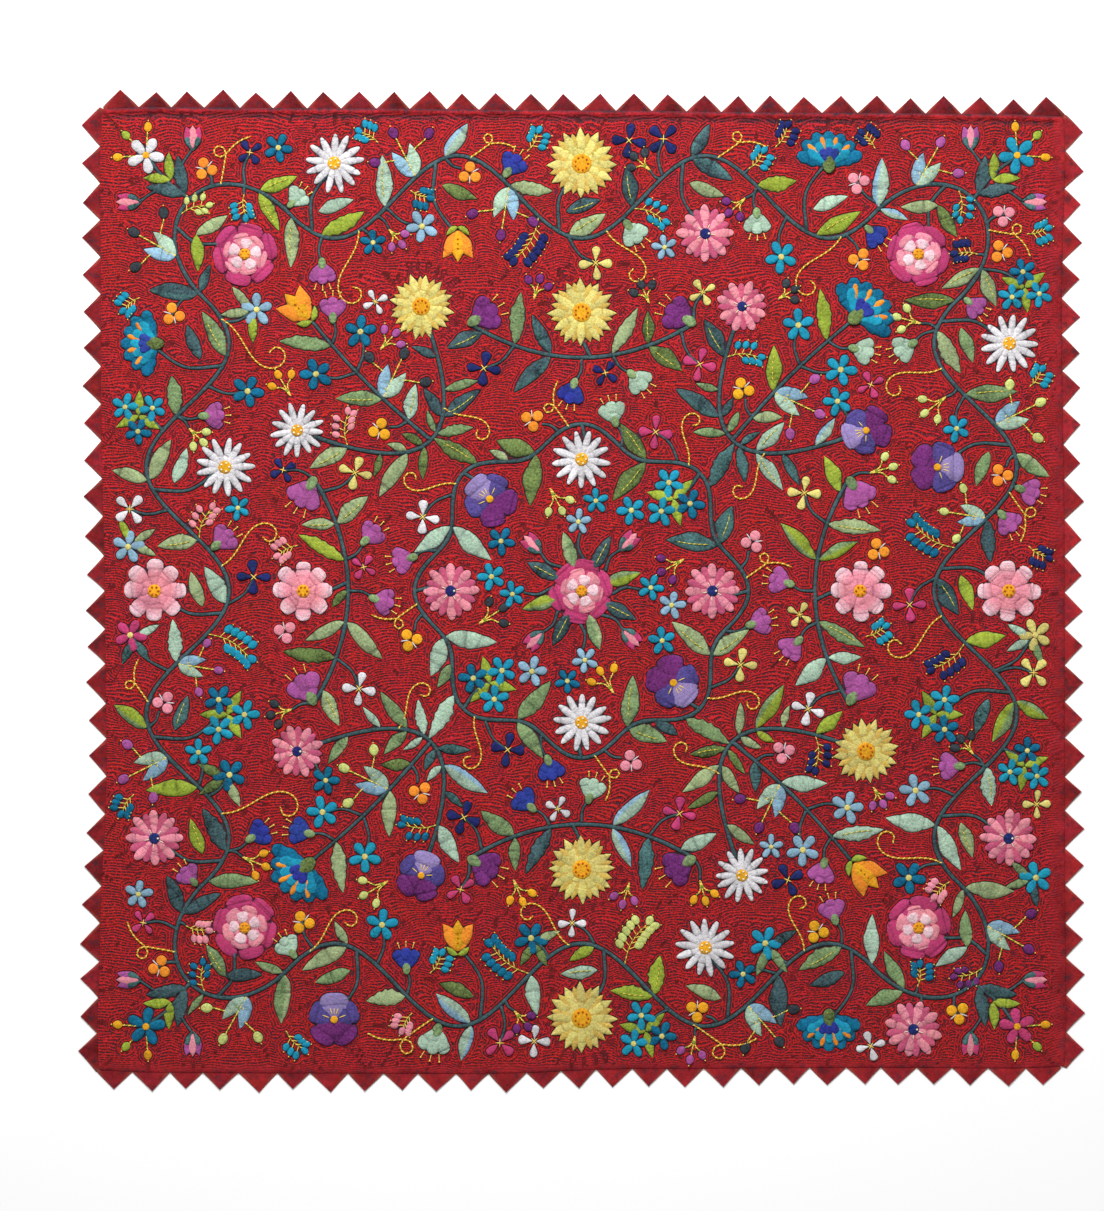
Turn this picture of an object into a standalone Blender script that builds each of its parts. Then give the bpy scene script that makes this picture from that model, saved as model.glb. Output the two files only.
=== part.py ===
"""An appliqué quilt with prairie points along its edges, lying flat with its face up.

Metres, +Z up. The origin is the middle of the whole outline, on the surface that the quilt
lies on. +X is the quilt's width and +Y runs from its bottom edge to its top edge.
The back is flat. The face swells a little between its stitches, and the rim is rolled.
"""

import math
from random import Random

import bmesh
import bpy
from mathutils import Vector
from mathutils.bvhtree import BVHTree

# ---- Driving dimensions, in metres ----
HALF_WIDTH = 0.8137  # middle of the body to its left or right edge
HALF_LENGTH = 0.8112  # middle of the body to its top or bottom edge
BODY_THICK = 0.0052  # top, wadding and back, quilted
SWELL = 0.00035  # how far the face rises and falls over its whole area
FIELD_CELLS = 20  # flats along each side of the face
CORNER_CUT = 0.0035  # how far the body's corners are rounded back
OUTLINE_SHIFT = (-0.00030, -0.00008)  # brings the middle of the outline, tips included, to 0, 0

SEAT_DEPTH = 0.009  # how far the prairie points reach in under the rim
FOLD_THICK = 0.0017  # folded cloth of a point where it enters the rim
TIP_THICK = 0.0012  # and at its tip
CLOTH_GAP = 0.0003  # clearance between two pieces of cloth
SIDE_GAP = 0.0006  # clearance behind the points, at the back of their seat

STEM_WIDTH = 0.007
STEM_HEIGHT = 0.0018
STEM_STEP = 0.029  # length of one flat of a stem
HEAD_SIDE = 0.0018  # height of a flower head at its edge
HEAD_CROWN = 0.0034  # and in its middle

BORDER_REACH = 0.665  # middle of the quilt to the straight line that the border vine follows
BORDER_CORNER = 0.18  # corner radius of that line
BORDER_WAVE = 0.070  # how far the vine swings to each side of it
BORDER_WAVES = 12
BORDER_JOIN = 0.0006  # each length of the vine stops this far short of its corner
BORDER_OUTER_HEAD = 0.056  # outside that line, the middle of a head in an outer hollow
BORDER_INNER_HEAD = 0.062  # inside that line, the middle of a head in an inner hollow

WREATH_RADIUS = 0.262
WREATH_WAVE = 0.020
WREATH_HEADS = 8
WREATH_HEAD_RADIUS = 0.221  # middle of the quilt to a head of the wreath
GARLAND_RADIUS = 0.394  # middle of the quilt to the low point of a garland
GARLAND_RISE = 1.6  # how steeply its ends curl outwards
GARLAND_HALF = 0.19
GARLAND_HEAD = 0.470
SPRAY_FOOT = 0.360  # middle of the quilt to the foot of a spray, along a diagonal
SPRAY_SPREAD = 7.9  # how steeply its two stems open
SPRAY_HALF = 0.135
SPRAY_HEAD = 0.655

# How far each edge lies outside its straight line, in mm, at places from -1 to 1 along it.
EDGE_DRIFT = {
    "top": ((-1.0, 6.5), (-0.5, 4.0), (0.0, 0.5), (0.5, -3.5), (1.0, -6.5)),
    "bottom": ((-1.0, 1.0), (-0.6, 3.0), (-0.2, 4.0), (0.1, -4.5), (0.6, -6.5), (1.0, -5.0)),
    "left": ((-1.0, 6.0), (-0.74, 0.0), (-0.36, -12.0), (-0.1, -9.5), (0.4, -2.5), (1.0, -0.5)),
    "right": ((-1.0, 5.5), (-0.5, 2.5), (0.1, 2.0), (0.6, -3.0), (1.0, 4.5)),
}

# The rim from the back round to the face: how far in from the edge, and how high.
REBATE_HEIGHT = FOLD_THICK + CLOTH_GAP
SEAT_BACK = SEAT_DEPTH + SIDE_GAP
RIM_PROFILE = (
    ("back", SEAT_BACK, 0.0),
    ("seat_back", SEAT_BACK, REBATE_HEIGHT),
    ("seat_mouth", 0.0007, REBATE_HEIGHT),
    ("edge", 0.0, 0.0036),
    ("lip", 0.0032, 0.0060),
    ("hollow", 0.0110, 0.0045),
)
FIELD_INSET = 0.024

# Prairie points: how many along each edge, and where they start and end, in from the corners.
POINT_ROWS = {
    "top": (28, 0.0050, 0.0010),
    "bottom": (27, 0.0010, 0.0090),
    "left": (26, 0.0, 0.0),
    "right": (26, 0.0, 0.0),
}

# Flower heads: outline, petals, radius in metres, and how far in the gaps between petals lie.
FLOWERS = {
    "sunflower": ("pointed", 12, 0.060, 0.70),
    "daisy": ("pointed", 11, 0.050, 0.66),
    "aster": ("round", 8, 0.048, 0.70),
    "rose": ("round", 6, 0.056, 0.88),
    "pansy": ("round", 5, 0.046, 0.76),
    "cosmos": ("round", 8, 0.054, 0.78),
    "bluets": ("round", 3, 0.052, 0.45),
    "carnation": ("fan", 7, 0.058, 0.86),
    "tulip": ("fan", 3, 0.046, 0.80),
}

# The heads in the border, in order clockwise from the middle of the top edge. They lie by
# turns outside and inside the vine, and the fourth and every sixth after it are at corners.
BORDER_HEADS = (
    "sunflower", "aster", "carnation", "rose", "daisy", "pansy",
    "cosmos", "bluets", "aster", "rose", "carnation", "daisy",
    "sunflower", "tulip", "pansy", "rose", "aster", "bluets",
    "cosmos", "daisy", "carnation", "rose", "daisy", "tulip",
)
WREATH_HEAD_KINDS = ("aster", "bluets", "daisy", "pansy")
GARLAND_HEADS = (("n", "sunflower"), ("e", "cosmos"), ("s", "sunflower"), ("w", "cosmos"))
SPRAY_HEADS = (("ne", "carnation"), ("se", "tulip"), ("sw", "carnation"), ("nw", "tulip"))

# name: colour, roughness
CLOTHS = {
    "red_cloth": ((0.56, 0.03, 0.04), 0.85),
    "point_cloth": ((0.46, 0.025, 0.04), 0.82),
    "stem_cloth": ((0.07, 0.14, 0.13), 0.85),
    "sunflower": ((0.83, 0.74, 0.32), 0.8),
    "daisy": ((0.82, 0.82, 0.80), 0.8),
    "aster": ((0.80, 0.32, 0.42), 0.8),
    "rose": ((0.75, 0.14, 0.33), 0.8),
    "pansy": ((0.36, 0.14, 0.48), 0.8),
    "cosmos": ((0.85, 0.62, 0.70), 0.8),
    "bluets": ((0.05, 0.36, 0.52), 0.8),
    "carnation": ((0.02, 0.30, 0.42), 0.8),
    "tulip": ((0.85, 0.42, 0.06), 0.8),
}


# ---- Plan of the body ----


def eased(table, place):
    """Value at a place in a table of (place, value) rows, with level ground at each row."""
    rows = list(zip(table, table[1:]))
    (p0, v0), (p1, v1) = next((r for r in rows if place <= r[1][0]), rows[-1])
    share = min(max((place - p0) / (p1 - p0), 0.0), 1.0)
    share = share * share * (3 - 2 * share)
    return v0 + (v1 - v0) * share


def edge_drift(edge, place):
    return eased(EDGE_DRIFT[edge], place) / 1000


def plan(u, v):
    """Plan position of a place on the body, where u and v run from -1 to 1 across it.
    The drift of an edge fades towards the middle of the quilt."""

    def near(w):
        return ((1 + w) / 2) ** 3

    x = u * HALF_WIDTH + edge_drift("right", v) * near(u) - edge_drift("left", v) * near(-u)
    y = v * HALF_LENGTH + edge_drift("top", u) * near(v) - edge_drift("bottom", u) * near(-v)
    return x + OUTLINE_SHIFT[0], y + OUTLINE_SHIFT[1]


def face_height(x, y):
    """Height of the face, which swells gently over its whole area."""
    rise = math.sin(11.3 * x + 1.1) * math.sin(9.7 * y + 0.4) + 0.6 * math.sin(15.1 * (x - y))
    return BODY_THICK + SWELL * rise


def square_place(step, cells):
    """One of 4 * cells places round the unit square, counter-clockwise from its lower left
    corner, and whether it is a corner."""
    side, along = divmod(step, cells)
    run = -1 + 2 * along / cells
    return ((run, -1), (1, run), (-run, 1), (-1, -run))[side], along == 0


# ---- Making objects ----


def make_material(name):
    colour, roughness = CLOTHS[name]
    material = bpy.data.materials.new(name)
    material.use_nodes = True
    shader = material.node_tree.nodes["Principled BSDF"]
    shader.inputs["Base Color"].default_value = (*colour, 1.0)
    shader.inputs["Roughness"].default_value = roughness
    shader.inputs["Metallic"].default_value = 0.0
    return material


def make_object(name, shape, material):
    """Turns a closed bmesh into an object with its faces pointing out."""
    bmesh.ops.recalc_face_normals(shape, faces=shape.faces)
    mesh = bpy.data.meshes.new(name)
    shape.to_mesh(mesh)
    shape.free()
    mesh.materials.append(material)
    mesh.shade_smooth()
    mesh.set_sharp_from_angle(angle=math.radians(40))
    made = bpy.data.objects.new(name, mesh)
    bpy.context.scene.collection.objects.link(made)
    return made


def bridge(shape, ring_a, ring_b, closed=True):
    """Quads between two rings, or two rows, of equally many vertices."""
    count = len(ring_a)
    for i in range(count if closed else count - 1):
        j = (i + 1) % count
        shape.faces.new((ring_a[i], ring_a[j], ring_b[j], ring_b[i]))


def fan(shape, ring, hub):
    for a, b in zip(ring, ring[1:] + ring[:1]):
        shape.faces.new((a, b, hub))


# ---- Body ----


def body_ring(shape, inset, height):
    """A ring round the body, so far in from its edge. Without a height it lies on the face."""
    reach_u = 1 - inset / HALF_WIDTH
    reach_v = 1 - inset / HALF_LENGTH
    ring = []
    for step in range(4 * FIELD_CELLS):
        (a, b), corner = square_place(step, FIELD_CELLS)
        cut = CORNER_CUT * max(0.0, 1 - inset / FIELD_INSET) if corner else 0.0
        u = a * (reach_u - cut / HALF_WIDTH)
        v = b * (reach_v - cut / HALF_LENGTH)
        x, y = plan(u, v)
        ring.append(shape.verts.new((x, y, face_height(x, y) if height is None else height)))
    return ring


def body_field(shape, border):
    """The face inside its border ring, as a grid of triangles."""
    n = FIELD_CELLS
    grid = {}
    for step, vert in enumerate(border):
        (a, b), _ = square_place(step, n)
        grid[round((a + 1) * n / 2), round((b + 1) * n / 2)] = vert
    reach_u = 1 - FIELD_INSET / HALF_WIDTH
    reach_v = 1 - FIELD_INSET / HALF_LENGTH
    for i in range(1, n):
        for j in range(1, n):
            x, y = plan((2 * i / n - 1) * reach_u, (2 * j / n - 1) * reach_v)
            grid[i, j] = shape.verts.new((x, y, face_height(x, y)))
    for i in range(n):
        for j in range(n):
            low, right = grid[i, j], grid[i + 1, j]
            far, left = grid[i + 1, j + 1], grid[i, j + 1]
            shape.faces.new((low, right, far))
            shape.faces.new((low, far, left))


def make_body(material):
    shape = bmesh.new()
    rings = [body_ring(shape, inset, height) for _, inset, height in RIM_PROFILE]
    rings.append(body_ring(shape, FIELD_INSET, None))
    shape.faces.new(rings[0])
    for below, above in zip(rings, rings[1:]):
        bridge(shape, below, above)
    body_field(shape, rings[-1])
    return make_object("quilt_body", shape, material)


# ---- Prairie points ----


def edge_place(edge, along, inset):
    """Plan position on an edge, at a distance along it from its left or lower end, so far in
    from it. A negative inset lies outside the body."""
    half = HALF_WIDTH if edge in ("top", "bottom") else HALF_LENGTH
    place = along / half - 1
    if edge in ("top", "bottom"):
        side = 1 if edge == "top" else -1
        x, y = plan(place, side)
        return x, y - side * inset
    side = 1 if edge == "right" else -1
    x, y = plan(side, place)
    return x - side * inset, y


def point_marks(edge):
    """Where each prairie point of an edge starts, and its tip: distance along, distance out.
    They were folded and set by eye, so they differ a little."""
    count, start, end = POINT_ROWS[edge]
    length = 2 * (HALF_WIDTH if edge in ("top", "bottom") else HALF_LENGTH)
    pitch = (length - start - end) / count
    chance = Random(edge)
    gaps = [start + pitch * k for k in range(count + 1)]
    gaps = [g + chance.uniform(-0.05, 0.05) * pitch if 0 < k < count else g for k, g in enumerate(gaps)]
    tips = []
    for a, b in zip(gaps, gaps[1:]):
        lean = chance.uniform(-0.05, 0.05)
        out = (b - a) * (0.5 + chance.uniform(-0.03, 0.02))
        tips.append((a + (b - a) * (0.5 + lean), out))
    return gaps, tips


def make_points(edge, material):
    """One row of prairie points, joined under the rim by the edge they are folded from."""
    gaps, tips = point_marks(edge)
    seat = list(gaps)
    seat[0] += SEAT_DEPTH
    seat[-1] -= SEAT_DEPTH
    shape = bmesh.new()

    def row(places, inset, height):
        return [shape.verts.new((*edge_place(edge, along, inset), height)) for along in places]

    low_seat = row(seat, SEAT_DEPTH, 0.0)
    top_seat = row(seat, SEAT_DEPTH, FOLD_THICK)
    low_gap = row(gaps, -CLOTH_GAP, 0.0)
    top_gap = row(gaps, -CLOTH_GAP, FOLD_THICK)
    low_tip = [shape.verts.new((*edge_place(edge, along, -out), 0.0)) for along, out in tips]
    top_tip = [shape.verts.new((*edge_place(edge, along, -out), TIP_THICK)) for along, out in tips]

    bridge(shape, low_seat, top_seat, closed=False)
    bridge(shape, low_seat, low_gap, closed=False)
    bridge(shape, top_seat, top_gap, closed=False)
    for k in range(len(tips)):
        shape.faces.new((low_gap[k], low_gap[k + 1], low_tip[k]))
        shape.faces.new((top_gap[k], top_gap[k + 1], top_tip[k]))
        shape.faces.new((low_gap[k], low_tip[k], top_tip[k], top_gap[k]))
        shape.faces.new((low_tip[k], low_gap[k + 1], top_gap[k + 1], top_tip[k]))
    for end in (0, -1):
        shape.faces.new((low_seat[end], low_gap[end], top_gap[end], top_seat[end]))
    return make_object("points_" + edge, shape, material)


# ---- Appliqué ----


def border_line(share):
    """Point and outward normal on the rounded square that the border vine follows. share runs
    from 0 to 1, clockwise from the middle of the top edge."""
    flat = BORDER_REACH - BORDER_CORNER
    turn = BORDER_CORNER * math.pi / 2
    quarter = 2 * flat + turn
    side, along = divmod((share % 1.0) * 4 * quarter + flat, quarter)
    if along <= 2 * flat:
        point, normal = Vector((along - flat, BORDER_REACH)), Vector((0, 1))
    else:
        angle = math.pi / 2 - (along - 2 * flat) / BORDER_CORNER
        normal = Vector((math.cos(angle), math.sin(angle)))
        point = Vector((flat, flat)) + normal * BORDER_CORNER
    quarter_turn = -side * math.pi / 2
    cos, sin = math.cos(quarter_turn), math.sin(quarter_turn)
    spun = [Vector((p.x * cos - p.y * sin, p.x * sin + p.y * cos)) for p in (point, normal)]
    return spun[0], spun[1]


def border_vine(share):
    point, normal = border_line(share)
    return point - normal * BORDER_WAVE * math.cos(2 * math.pi * BORDER_WAVES * share)


def wreath_line(share):
    angle = 2 * math.pi * share
    radius = WREATH_RADIUS + WREATH_WAVE * math.cos(WREATH_HEADS * angle)
    return Vector((radius * math.cos(angle), radius * math.sin(angle)))


def bowl(direction, foot, spread, half):
    """A curve that opens away from the middle of the quilt, for shares from 0 to 1."""

    def line(share):
        across = (2 * share - 1) * half
        out = foot + spread * across * across
        return Vector((out * direction.x - across * direction.y, out * direction.y + across * direction.x))

    return line


def points_along(line, start, end, step):
    """Points at even distances along a curve, each with the curve's direction there."""
    fine = [line(start + (end - start) * k / 400) for k in range(401)]
    run = [0.0]
    for a, b in zip(fine, fine[1:]):
        run.append(run[-1] + (b - a).length)
    count = max(2, round(run[-1] / step))
    picks = []
    k = 0
    for n in range(count + 1):
        target = run[-1] * n / count
        while k < 399 and run[k + 1] < target:
            k += 1
        share = (target - run[k]) / (run[k + 1] - run[k])
        picks.append((fine[k].lerp(fine[k + 1], share), (fine[k + 1] - fine[k]).normalized()))
    return picks


class Face:
    """The body's face, which the appliqué lies on."""

    def __init__(self, body):
        self.tree = BVHTree.FromPolygons(
            [v.co for v in body.data.vertices], [p.vertices[:] for p in body.data.polygons]
        )

    def over(self, place, rise):
        """A point over the face, at the height of one cloth gap and rise."""
        hit, _, _, _ = self.tree.ray_cast(Vector((place[0], place[1], 1.0)), Vector((0, 0, -1)))
        return place[0], place[1], hit.z + CLOTH_GAP + rise


def make_stem(name, line, face, material, closed=False, start=0.0, end=1.0):
    """A bias strip along a curve, a little narrower at its top."""
    path = points_along(line, start, end, STEM_STEP)
    if closed:
        path = path[:-1]
    shape = bmesh.new()
    section = ((-0.5, 0.0), (-0.36, 1.0), (0.36, 1.0), (0.5, 0.0))
    rows = []
    for point, along in path:
        across = Vector((-along.y, along.x))
        corners = [(point + across * STEM_WIDTH * w, STEM_HEIGHT * h) for w, h in section]
        rows.append([shape.verts.new(face.over(place, rise)) for place, rise in corners])
    for a, b in zip(rows, rows[1:] + rows[:1] if closed else rows[1:]):
        bridge(shape, a, b)
    if not closed:
        shape.faces.new(rows[0])
        shape.faces.new(rows[-1])
    return make_object(name, shape, material)


def flower_outline(form, petals, radius, gap):
    """Outline of a flower head as (angle, radius) pairs. A fan opens along its zero angle."""
    pitch = 2 * math.pi / petals
    if form == "pointed":
        marks = ((0.0, 1.0), (0.5, gap))
        return [((k + at) * pitch, radius * r) for k in range(petals) for at, r in marks]
    if form == "round":
        marks = ((-0.24, 0.95), (0.0, 1.0), (0.24, 0.95), (0.5, gap))
        if petals > 6:
            marks = ((-0.22, 1.0), (0.22, 1.0), (0.5, gap))
        return [((k + at) * pitch, radius * r) for k in range(petals) for at, r in marks]
    spread = math.radians(150)
    outline = []
    for k in range(petals):
        left = (k / petals - 0.5) * spread
        outline.append((left, radius * (gap if k else 0.78)))
        outline.append((left + spread / petals / 2, radius))
    outline.append((spread / 2, radius * 0.78))
    outline += [(math.radians(a), radius * r) for a, r in ((115, 0.5), (150, 0.6), (210, 0.6), (245, 0.5))]
    return outline


def make_head(name, kind, centre, facing, face, material):
    """A flower head as one low crowned solid. facing is the angle that a fan opens along."""
    outline = flower_outline(*FLOWERS[kind])
    shape = bmesh.new()

    def ring(size, rise):
        places = [
            centre + Vector((math.cos(facing + a), math.sin(facing + a))) * r * size for a, r in outline
        ]
        return [shape.verts.new(face.over(place, rise)) for place in places]

    low = ring(1.0, 0.0)
    top = ring(0.93, HEAD_SIDE)
    bridge(shape, low, top)
    fan(shape, low, shape.verts.new(face.over(centre, 0.0)))
    fan(shape, top, shape.verts.new(face.over(centre, HEAD_CROWN)))
    return make_object(name, shape, material)


def compass(name):
    """Direction of a compass name such as n or sw, as a vector and an angle."""
    east = ("e" in name) - ("w" in name)
    north = ("n" in name) - ("s" in name)
    direction = Vector((east, north)).normalized()
    return direction, math.atan2(direction.y, direction.x)


def make_border(face, materials):
    trim = BORDER_JOIN / (8 * BORDER_REACH)
    for side in range(4):
        start = (2 * side - 1) / 8 + trim
        end = (2 * side + 1) / 8 - trim
        make_stem(f"border_vine_{side + 1}", border_vine, face, materials["stem_cloth"], start=start, end=end)
    for number, kind in enumerate(BORDER_HEADS):
        point, normal = border_line(number / len(BORDER_HEADS))
        outer = number % 2 == 0
        reach = BORDER_OUTER_HEAD if outer else -BORDER_INNER_HEAD
        facing = math.atan2(normal.y, normal.x) + (0 if outer else math.pi)
        name = f"border_{number:02d}_{kind}"
        make_head(name, kind, point + normal * reach, facing, face, materials[kind])


def make_wreath(face, materials):
    make_stem("wreath_stem", wreath_line, face, materials["stem_cloth"], closed=True)
    for number in range(WREATH_HEADS):
        angle = 2 * math.pi * number / WREATH_HEADS
        kind = WREATH_HEAD_KINDS[number % len(WREATH_HEAD_KINDS)]
        centre = Vector((math.cos(angle), math.sin(angle))) * WREATH_HEAD_RADIUS
        make_head(f"wreath_{number}_{kind}", kind, centre, angle, face, materials[kind])
    make_head("centre_rose", "rose", Vector((0, 0)), 0.3, face, materials["rose"])


def make_garlands(face, materials):
    for name, kind in GARLAND_HEADS:
        direction, angle = compass(name)
        line = bowl(direction, GARLAND_RADIUS, GARLAND_RISE, GARLAND_HALF)
        make_stem(f"garland_stem_{name}", line, face, materials["stem_cloth"])
        make_head(f"garland_{name}_{kind}", kind, direction * GARLAND_HEAD, angle, face, materials[kind])


def make_sprays(face, materials):
    for name, kind in SPRAY_HEADS:
        direction, angle = compass(name)
        line = bowl(direction, SPRAY_FOOT, SPRAY_SPREAD, SPRAY_HALF)
        make_stem(f"spray_stem_{name}", line, face, materials["stem_cloth"])
        make_head(f"spray_{name}_{kind}", kind, direction * SPRAY_HEAD, angle, face, materials[kind])


def main():
    for old in list(bpy.data.objects):
        bpy.data.objects.remove(old, do_unlink=True)
    materials = {name: make_material(name) for name in CLOTHS}
    body = make_body(materials["red_cloth"])
    for edge in POINT_ROWS:
        make_points(edge, materials["point_cloth"])
    face = Face(body)
    make_border(face, materials)
    make_wreath(face, materials)
    make_garlands(face, materials)
    make_sprays(face, materials)


main()
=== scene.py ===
"""The looks of an appliqué quilt with prairie points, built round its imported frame.

Metres, +Z up. The quilt lies flat with its face up, and its top edge is towards +Y. The
body's edges, the prairie points and the middles of the main flower heads are read from the
frame. The stems run on the same curves as the frame's own.
"""

import math
from random import Random

import bpy
import numpy as np
from mathutils import Matrix, Vector, kdtree


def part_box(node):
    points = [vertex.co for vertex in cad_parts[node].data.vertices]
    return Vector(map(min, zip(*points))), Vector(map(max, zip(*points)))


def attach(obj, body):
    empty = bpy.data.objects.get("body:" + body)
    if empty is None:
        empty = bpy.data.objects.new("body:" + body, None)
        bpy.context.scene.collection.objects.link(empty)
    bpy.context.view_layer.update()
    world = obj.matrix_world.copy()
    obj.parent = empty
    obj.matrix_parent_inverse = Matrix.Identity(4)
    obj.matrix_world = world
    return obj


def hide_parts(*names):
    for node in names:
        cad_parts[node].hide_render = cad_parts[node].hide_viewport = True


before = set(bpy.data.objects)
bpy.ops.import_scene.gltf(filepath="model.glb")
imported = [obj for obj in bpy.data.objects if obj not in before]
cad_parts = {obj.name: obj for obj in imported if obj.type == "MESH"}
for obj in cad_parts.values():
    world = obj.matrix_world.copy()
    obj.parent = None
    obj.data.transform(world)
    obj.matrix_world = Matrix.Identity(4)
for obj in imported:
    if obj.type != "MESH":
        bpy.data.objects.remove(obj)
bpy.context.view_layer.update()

# ---- Sizes, in metres ----
FACE = 0.0052  # height of the quilted face above the surface
SWELL = 0.0005  # how far it rises and falls over its whole area
PUFF = 0.0004  # and between the stitches of one patch of ground
SUNK = 0.0008  # how far it is drawn down beside a patch
ROW_GAP = 0.0047  # from one row of echo quilting to the next
GROUND_CELL, BACK_CELL = 0.0042, 0.013
RIM_LEVEL, VALLEY_LEVEL, TIP_LEVEL = 0.0036, 0.0017, 0.0012  # heights of those in the frame
RIM_REACH = 0.022  # depth of the rolled rim and the hollow behind it
RIM = (  # in from the edge, height along the top edge, height along the others, shade: where shade is painted, below 0 on the lip and most below -1, above 0 as a shadow in the hollow
    (0.0012, 0.0020, 0.0020, -1.5),  # from the underside of the rim
    (0.0000, 0.0027, 0.0024, -1.5),
    (0.0003, 0.0038, 0.0028, -1.5),
    (0.0018, 0.0053, 0.0035, -1.4),
    (0.0044, 0.0066, 0.0041, -1.15),  # over its lip
    (0.0074, 0.0066, 0.0045, -0.8),
    (0.0098, 0.0050, 0.0047, 0.1),
    (0.0122, 0.0036, 0.0049, 0.9),  # to the hollow where it is sewn down
    (0.0160, 0.0036, 0.0050, 0.9),
    (0.0198, 0.0048, 0.0051, 0.4),
)
SEAT = 0.0096  # how far in the back is turned up to take the points
BACK_RIM = (  # in from the edge, height
    (0.0012, 0.0020), (SEAT, 0.0020), (SEAT + 0.0002, 0.0004), (SEAT + 0.0012, 0.0),
)
FADES = {  # how far in the ground is plain along an edge, and over how much more it fades in
    "left": (-0.002, 0.004), "right": (0.003, 0.034),
    "bottom": (0.003, 0.012), "top": (0.006, 0.008),
}
CORNER_REACH = 0.006
LAYER = 0.0006  # one layer of appliqué over another
STEM_WIDTH, STALK_WIDTH, THIN_STALK, TWIG = 0.0061, 0.0052, 0.0044, 0.0043
THREAD_WIDTH, FINE_THREAD = 0.0031, 0.0018
STITCH = 0.0056
BERRY = 0.0145
OUTLINE_STEP = 0.0016  # between the points of a patch's outline that the quilting follows
SUNK_REACH = 0.0030  # how far from a patch the ground is drawn down
CORNER_BLEND = 0.02  # where the high rim of the top edge turns into the low ones
SAME_VALLEY = 0.012  # two points of the frame this near are in one valley between prairie points
POINT_THICK, POINT_MOST, POINT_OVERLAP, CREASE_DEPTH = 0.00155, 0.0019, 0.0004, 0.00025

# Clear distance that a curl, any motif and a gap of the ground need, and from which a gap takes
# a leafy blossom, a ring of bluets or a flower head.
CURL_ROOM, MOTIF_ROOM, GAP_ROOM = 0.0075, 0.0225, 0.0245
BLOSSOM_ROOM, BLUET_ROOM, HEAD_ROOM = 0.034, 0.042, 0.052
WREATH_PATH, BORDER_PATH = (0.325, 0.345), (0.535, 0.555)  # left bare

BORDER_REACH, BORDER_CORNER, BORDER_WAVE, BORDER_WAVES = 0.665, 0.18, 0.070, 12
WREATH_RADIUS, WREATH_WAVE, WREATH_HEADS = 0.262, 0.020, 8
GARLAND_RADIUS, GARLAND_RISE, GARLAND_HALF = 0.394, 1.6, 0.19
SPRAY_FOOT, SPRAY_SPREAD, SPRAY_HALF, SPRAY_LENGTH = 0.360, 7.9, 0.135, 0.284

# Dyes, as red, green and blue out of 255.
DYES = {
    "ground": (184, 38, 40), "slate": (62, 86, 90), "teal_green": (70, 104, 104),
    "sage": (122, 146, 100), "pale_sage": (152, 168, 122), "moss": (100, 118, 66),
    "lime": (148, 166, 58), "lime_pale": (198, 206, 120), "mint": (162, 188, 166),
    "ice": (136, 172, 194), "white": (216, 213, 216), "butter": (214, 200, 116),
    "gold": (230, 164, 36), "orange": (238, 142, 46), "straw": (204, 172, 84),
    "pink": (226, 140, 154), "hot_pink": (186, 62, 110), "rose_pink": (190, 84, 116),
    "blush": (236, 200, 208), "purple": (112, 46, 112), "orchid": (162, 82, 146),
    "violet": (82, 70, 134), "lilac": (148, 130, 182), "navy": (34, 42, 98),
    "royal": (46, 58, 142), "teal": (20, 104, 138), "turquoise": (32, 144, 174),
    # shaded_thread is a darker copy of thread, painted shade between the lit stitches.
    "charcoal": (54, 62, 68), "thread": (246, 214, 102), "shaded_thread": (204, 146, 46),
    "cream": (242, 234, 202), "rust": (196, 84, 32), "point": (142, 33, 39),
    # painted_shade is the dark colour that painted shade and painted shadow are mixed towards; lip
    # is the ground red made darker as painted shade on the rolled lip.
    "painted_shade": (50, 43, 52), "worn": (206, 112, 88), "lip": (152, 32, 38),
}


def dye(name, lift=1.0):
    """A dye's linear colour, made lighter or darker by lift."""
    values = (np.array(DYES[name]) / 255 * lift).clip(0, 1)
    return tuple(np.where(values < 0.04045, values / 12.92, ((values + 0.055) / 1.055) ** 2.4))


# ---- What the frame gives ----


def level_points(node, height):
    """Plan of the points of a node that lie at one height."""
    places = np.array([v.co[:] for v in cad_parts[node].data.vertices])
    places = np.unique(places.round(5), axis=0)
    return places[abs(places[:, 2] - height) < 0.0001][:, :2]


def box_middle(node):
    low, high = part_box(node)
    return ((low + high) / 2).to_2d()


def nodes_with(word):
    """The frame's nodes whose names hold a word."""
    return [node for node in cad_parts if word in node]


def run_of(path):
    """How far each point of a path is from its start."""
    return np.concatenate([[0], np.hypot(*np.diff(path, axis=0).T).cumsum()])


def pick(marks, run, rows):
    """Rows of values, each known at a place of the run, at other marks along it."""
    return np.stack([np.interp(marks, run, column) for column in rows.T], axis=-1)


POINT_LIFT = {"top": 0.92, "bottom": 1.14, "left": 1.02, "right": 1.18}  # dye of each row
POINT_SHADE = {"top": 0.30, "bottom": 0.03, "left": 0.10, "right": 0.10}  # how strongly shade is painted on each row's points
EDGE_AXES = {"top": (0, 1, 1), "bottom": (0, 1, -1), "left": (1, 0, -1), "right": (1, 0, 1)}


def rim_curve(edge):
    """Plan of one edge of the body, in order along it."""
    along, across, side = EDGE_AXES[edge]
    rim = level_points("quilt_body", RIM_LEVEL)
    rim = rim[rim[:, across] * side > 0.95 * abs(rim[:, across]).max()]
    return rim[rim[:, along].argsort()]


RIMS = {edge: rim_curve(edge) for edge in EDGE_AXES}


def add_corners():
    """Carries the four edges on to the corners that they share."""
    for upright, end in (("left", 0), ("right", -1)):
        for level, top in (("bottom", 0), ("top", -1)):
            corner = [[RIMS[upright][top, 0], RIMS[level][end, 1]]]
            for edge, place in ((level, end), (upright, top)):
                parts = (corner, RIMS[edge]) if place == 0 else (RIMS[edge], corner)
                RIMS[edge] = np.concatenate(parts)


add_corners()


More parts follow.
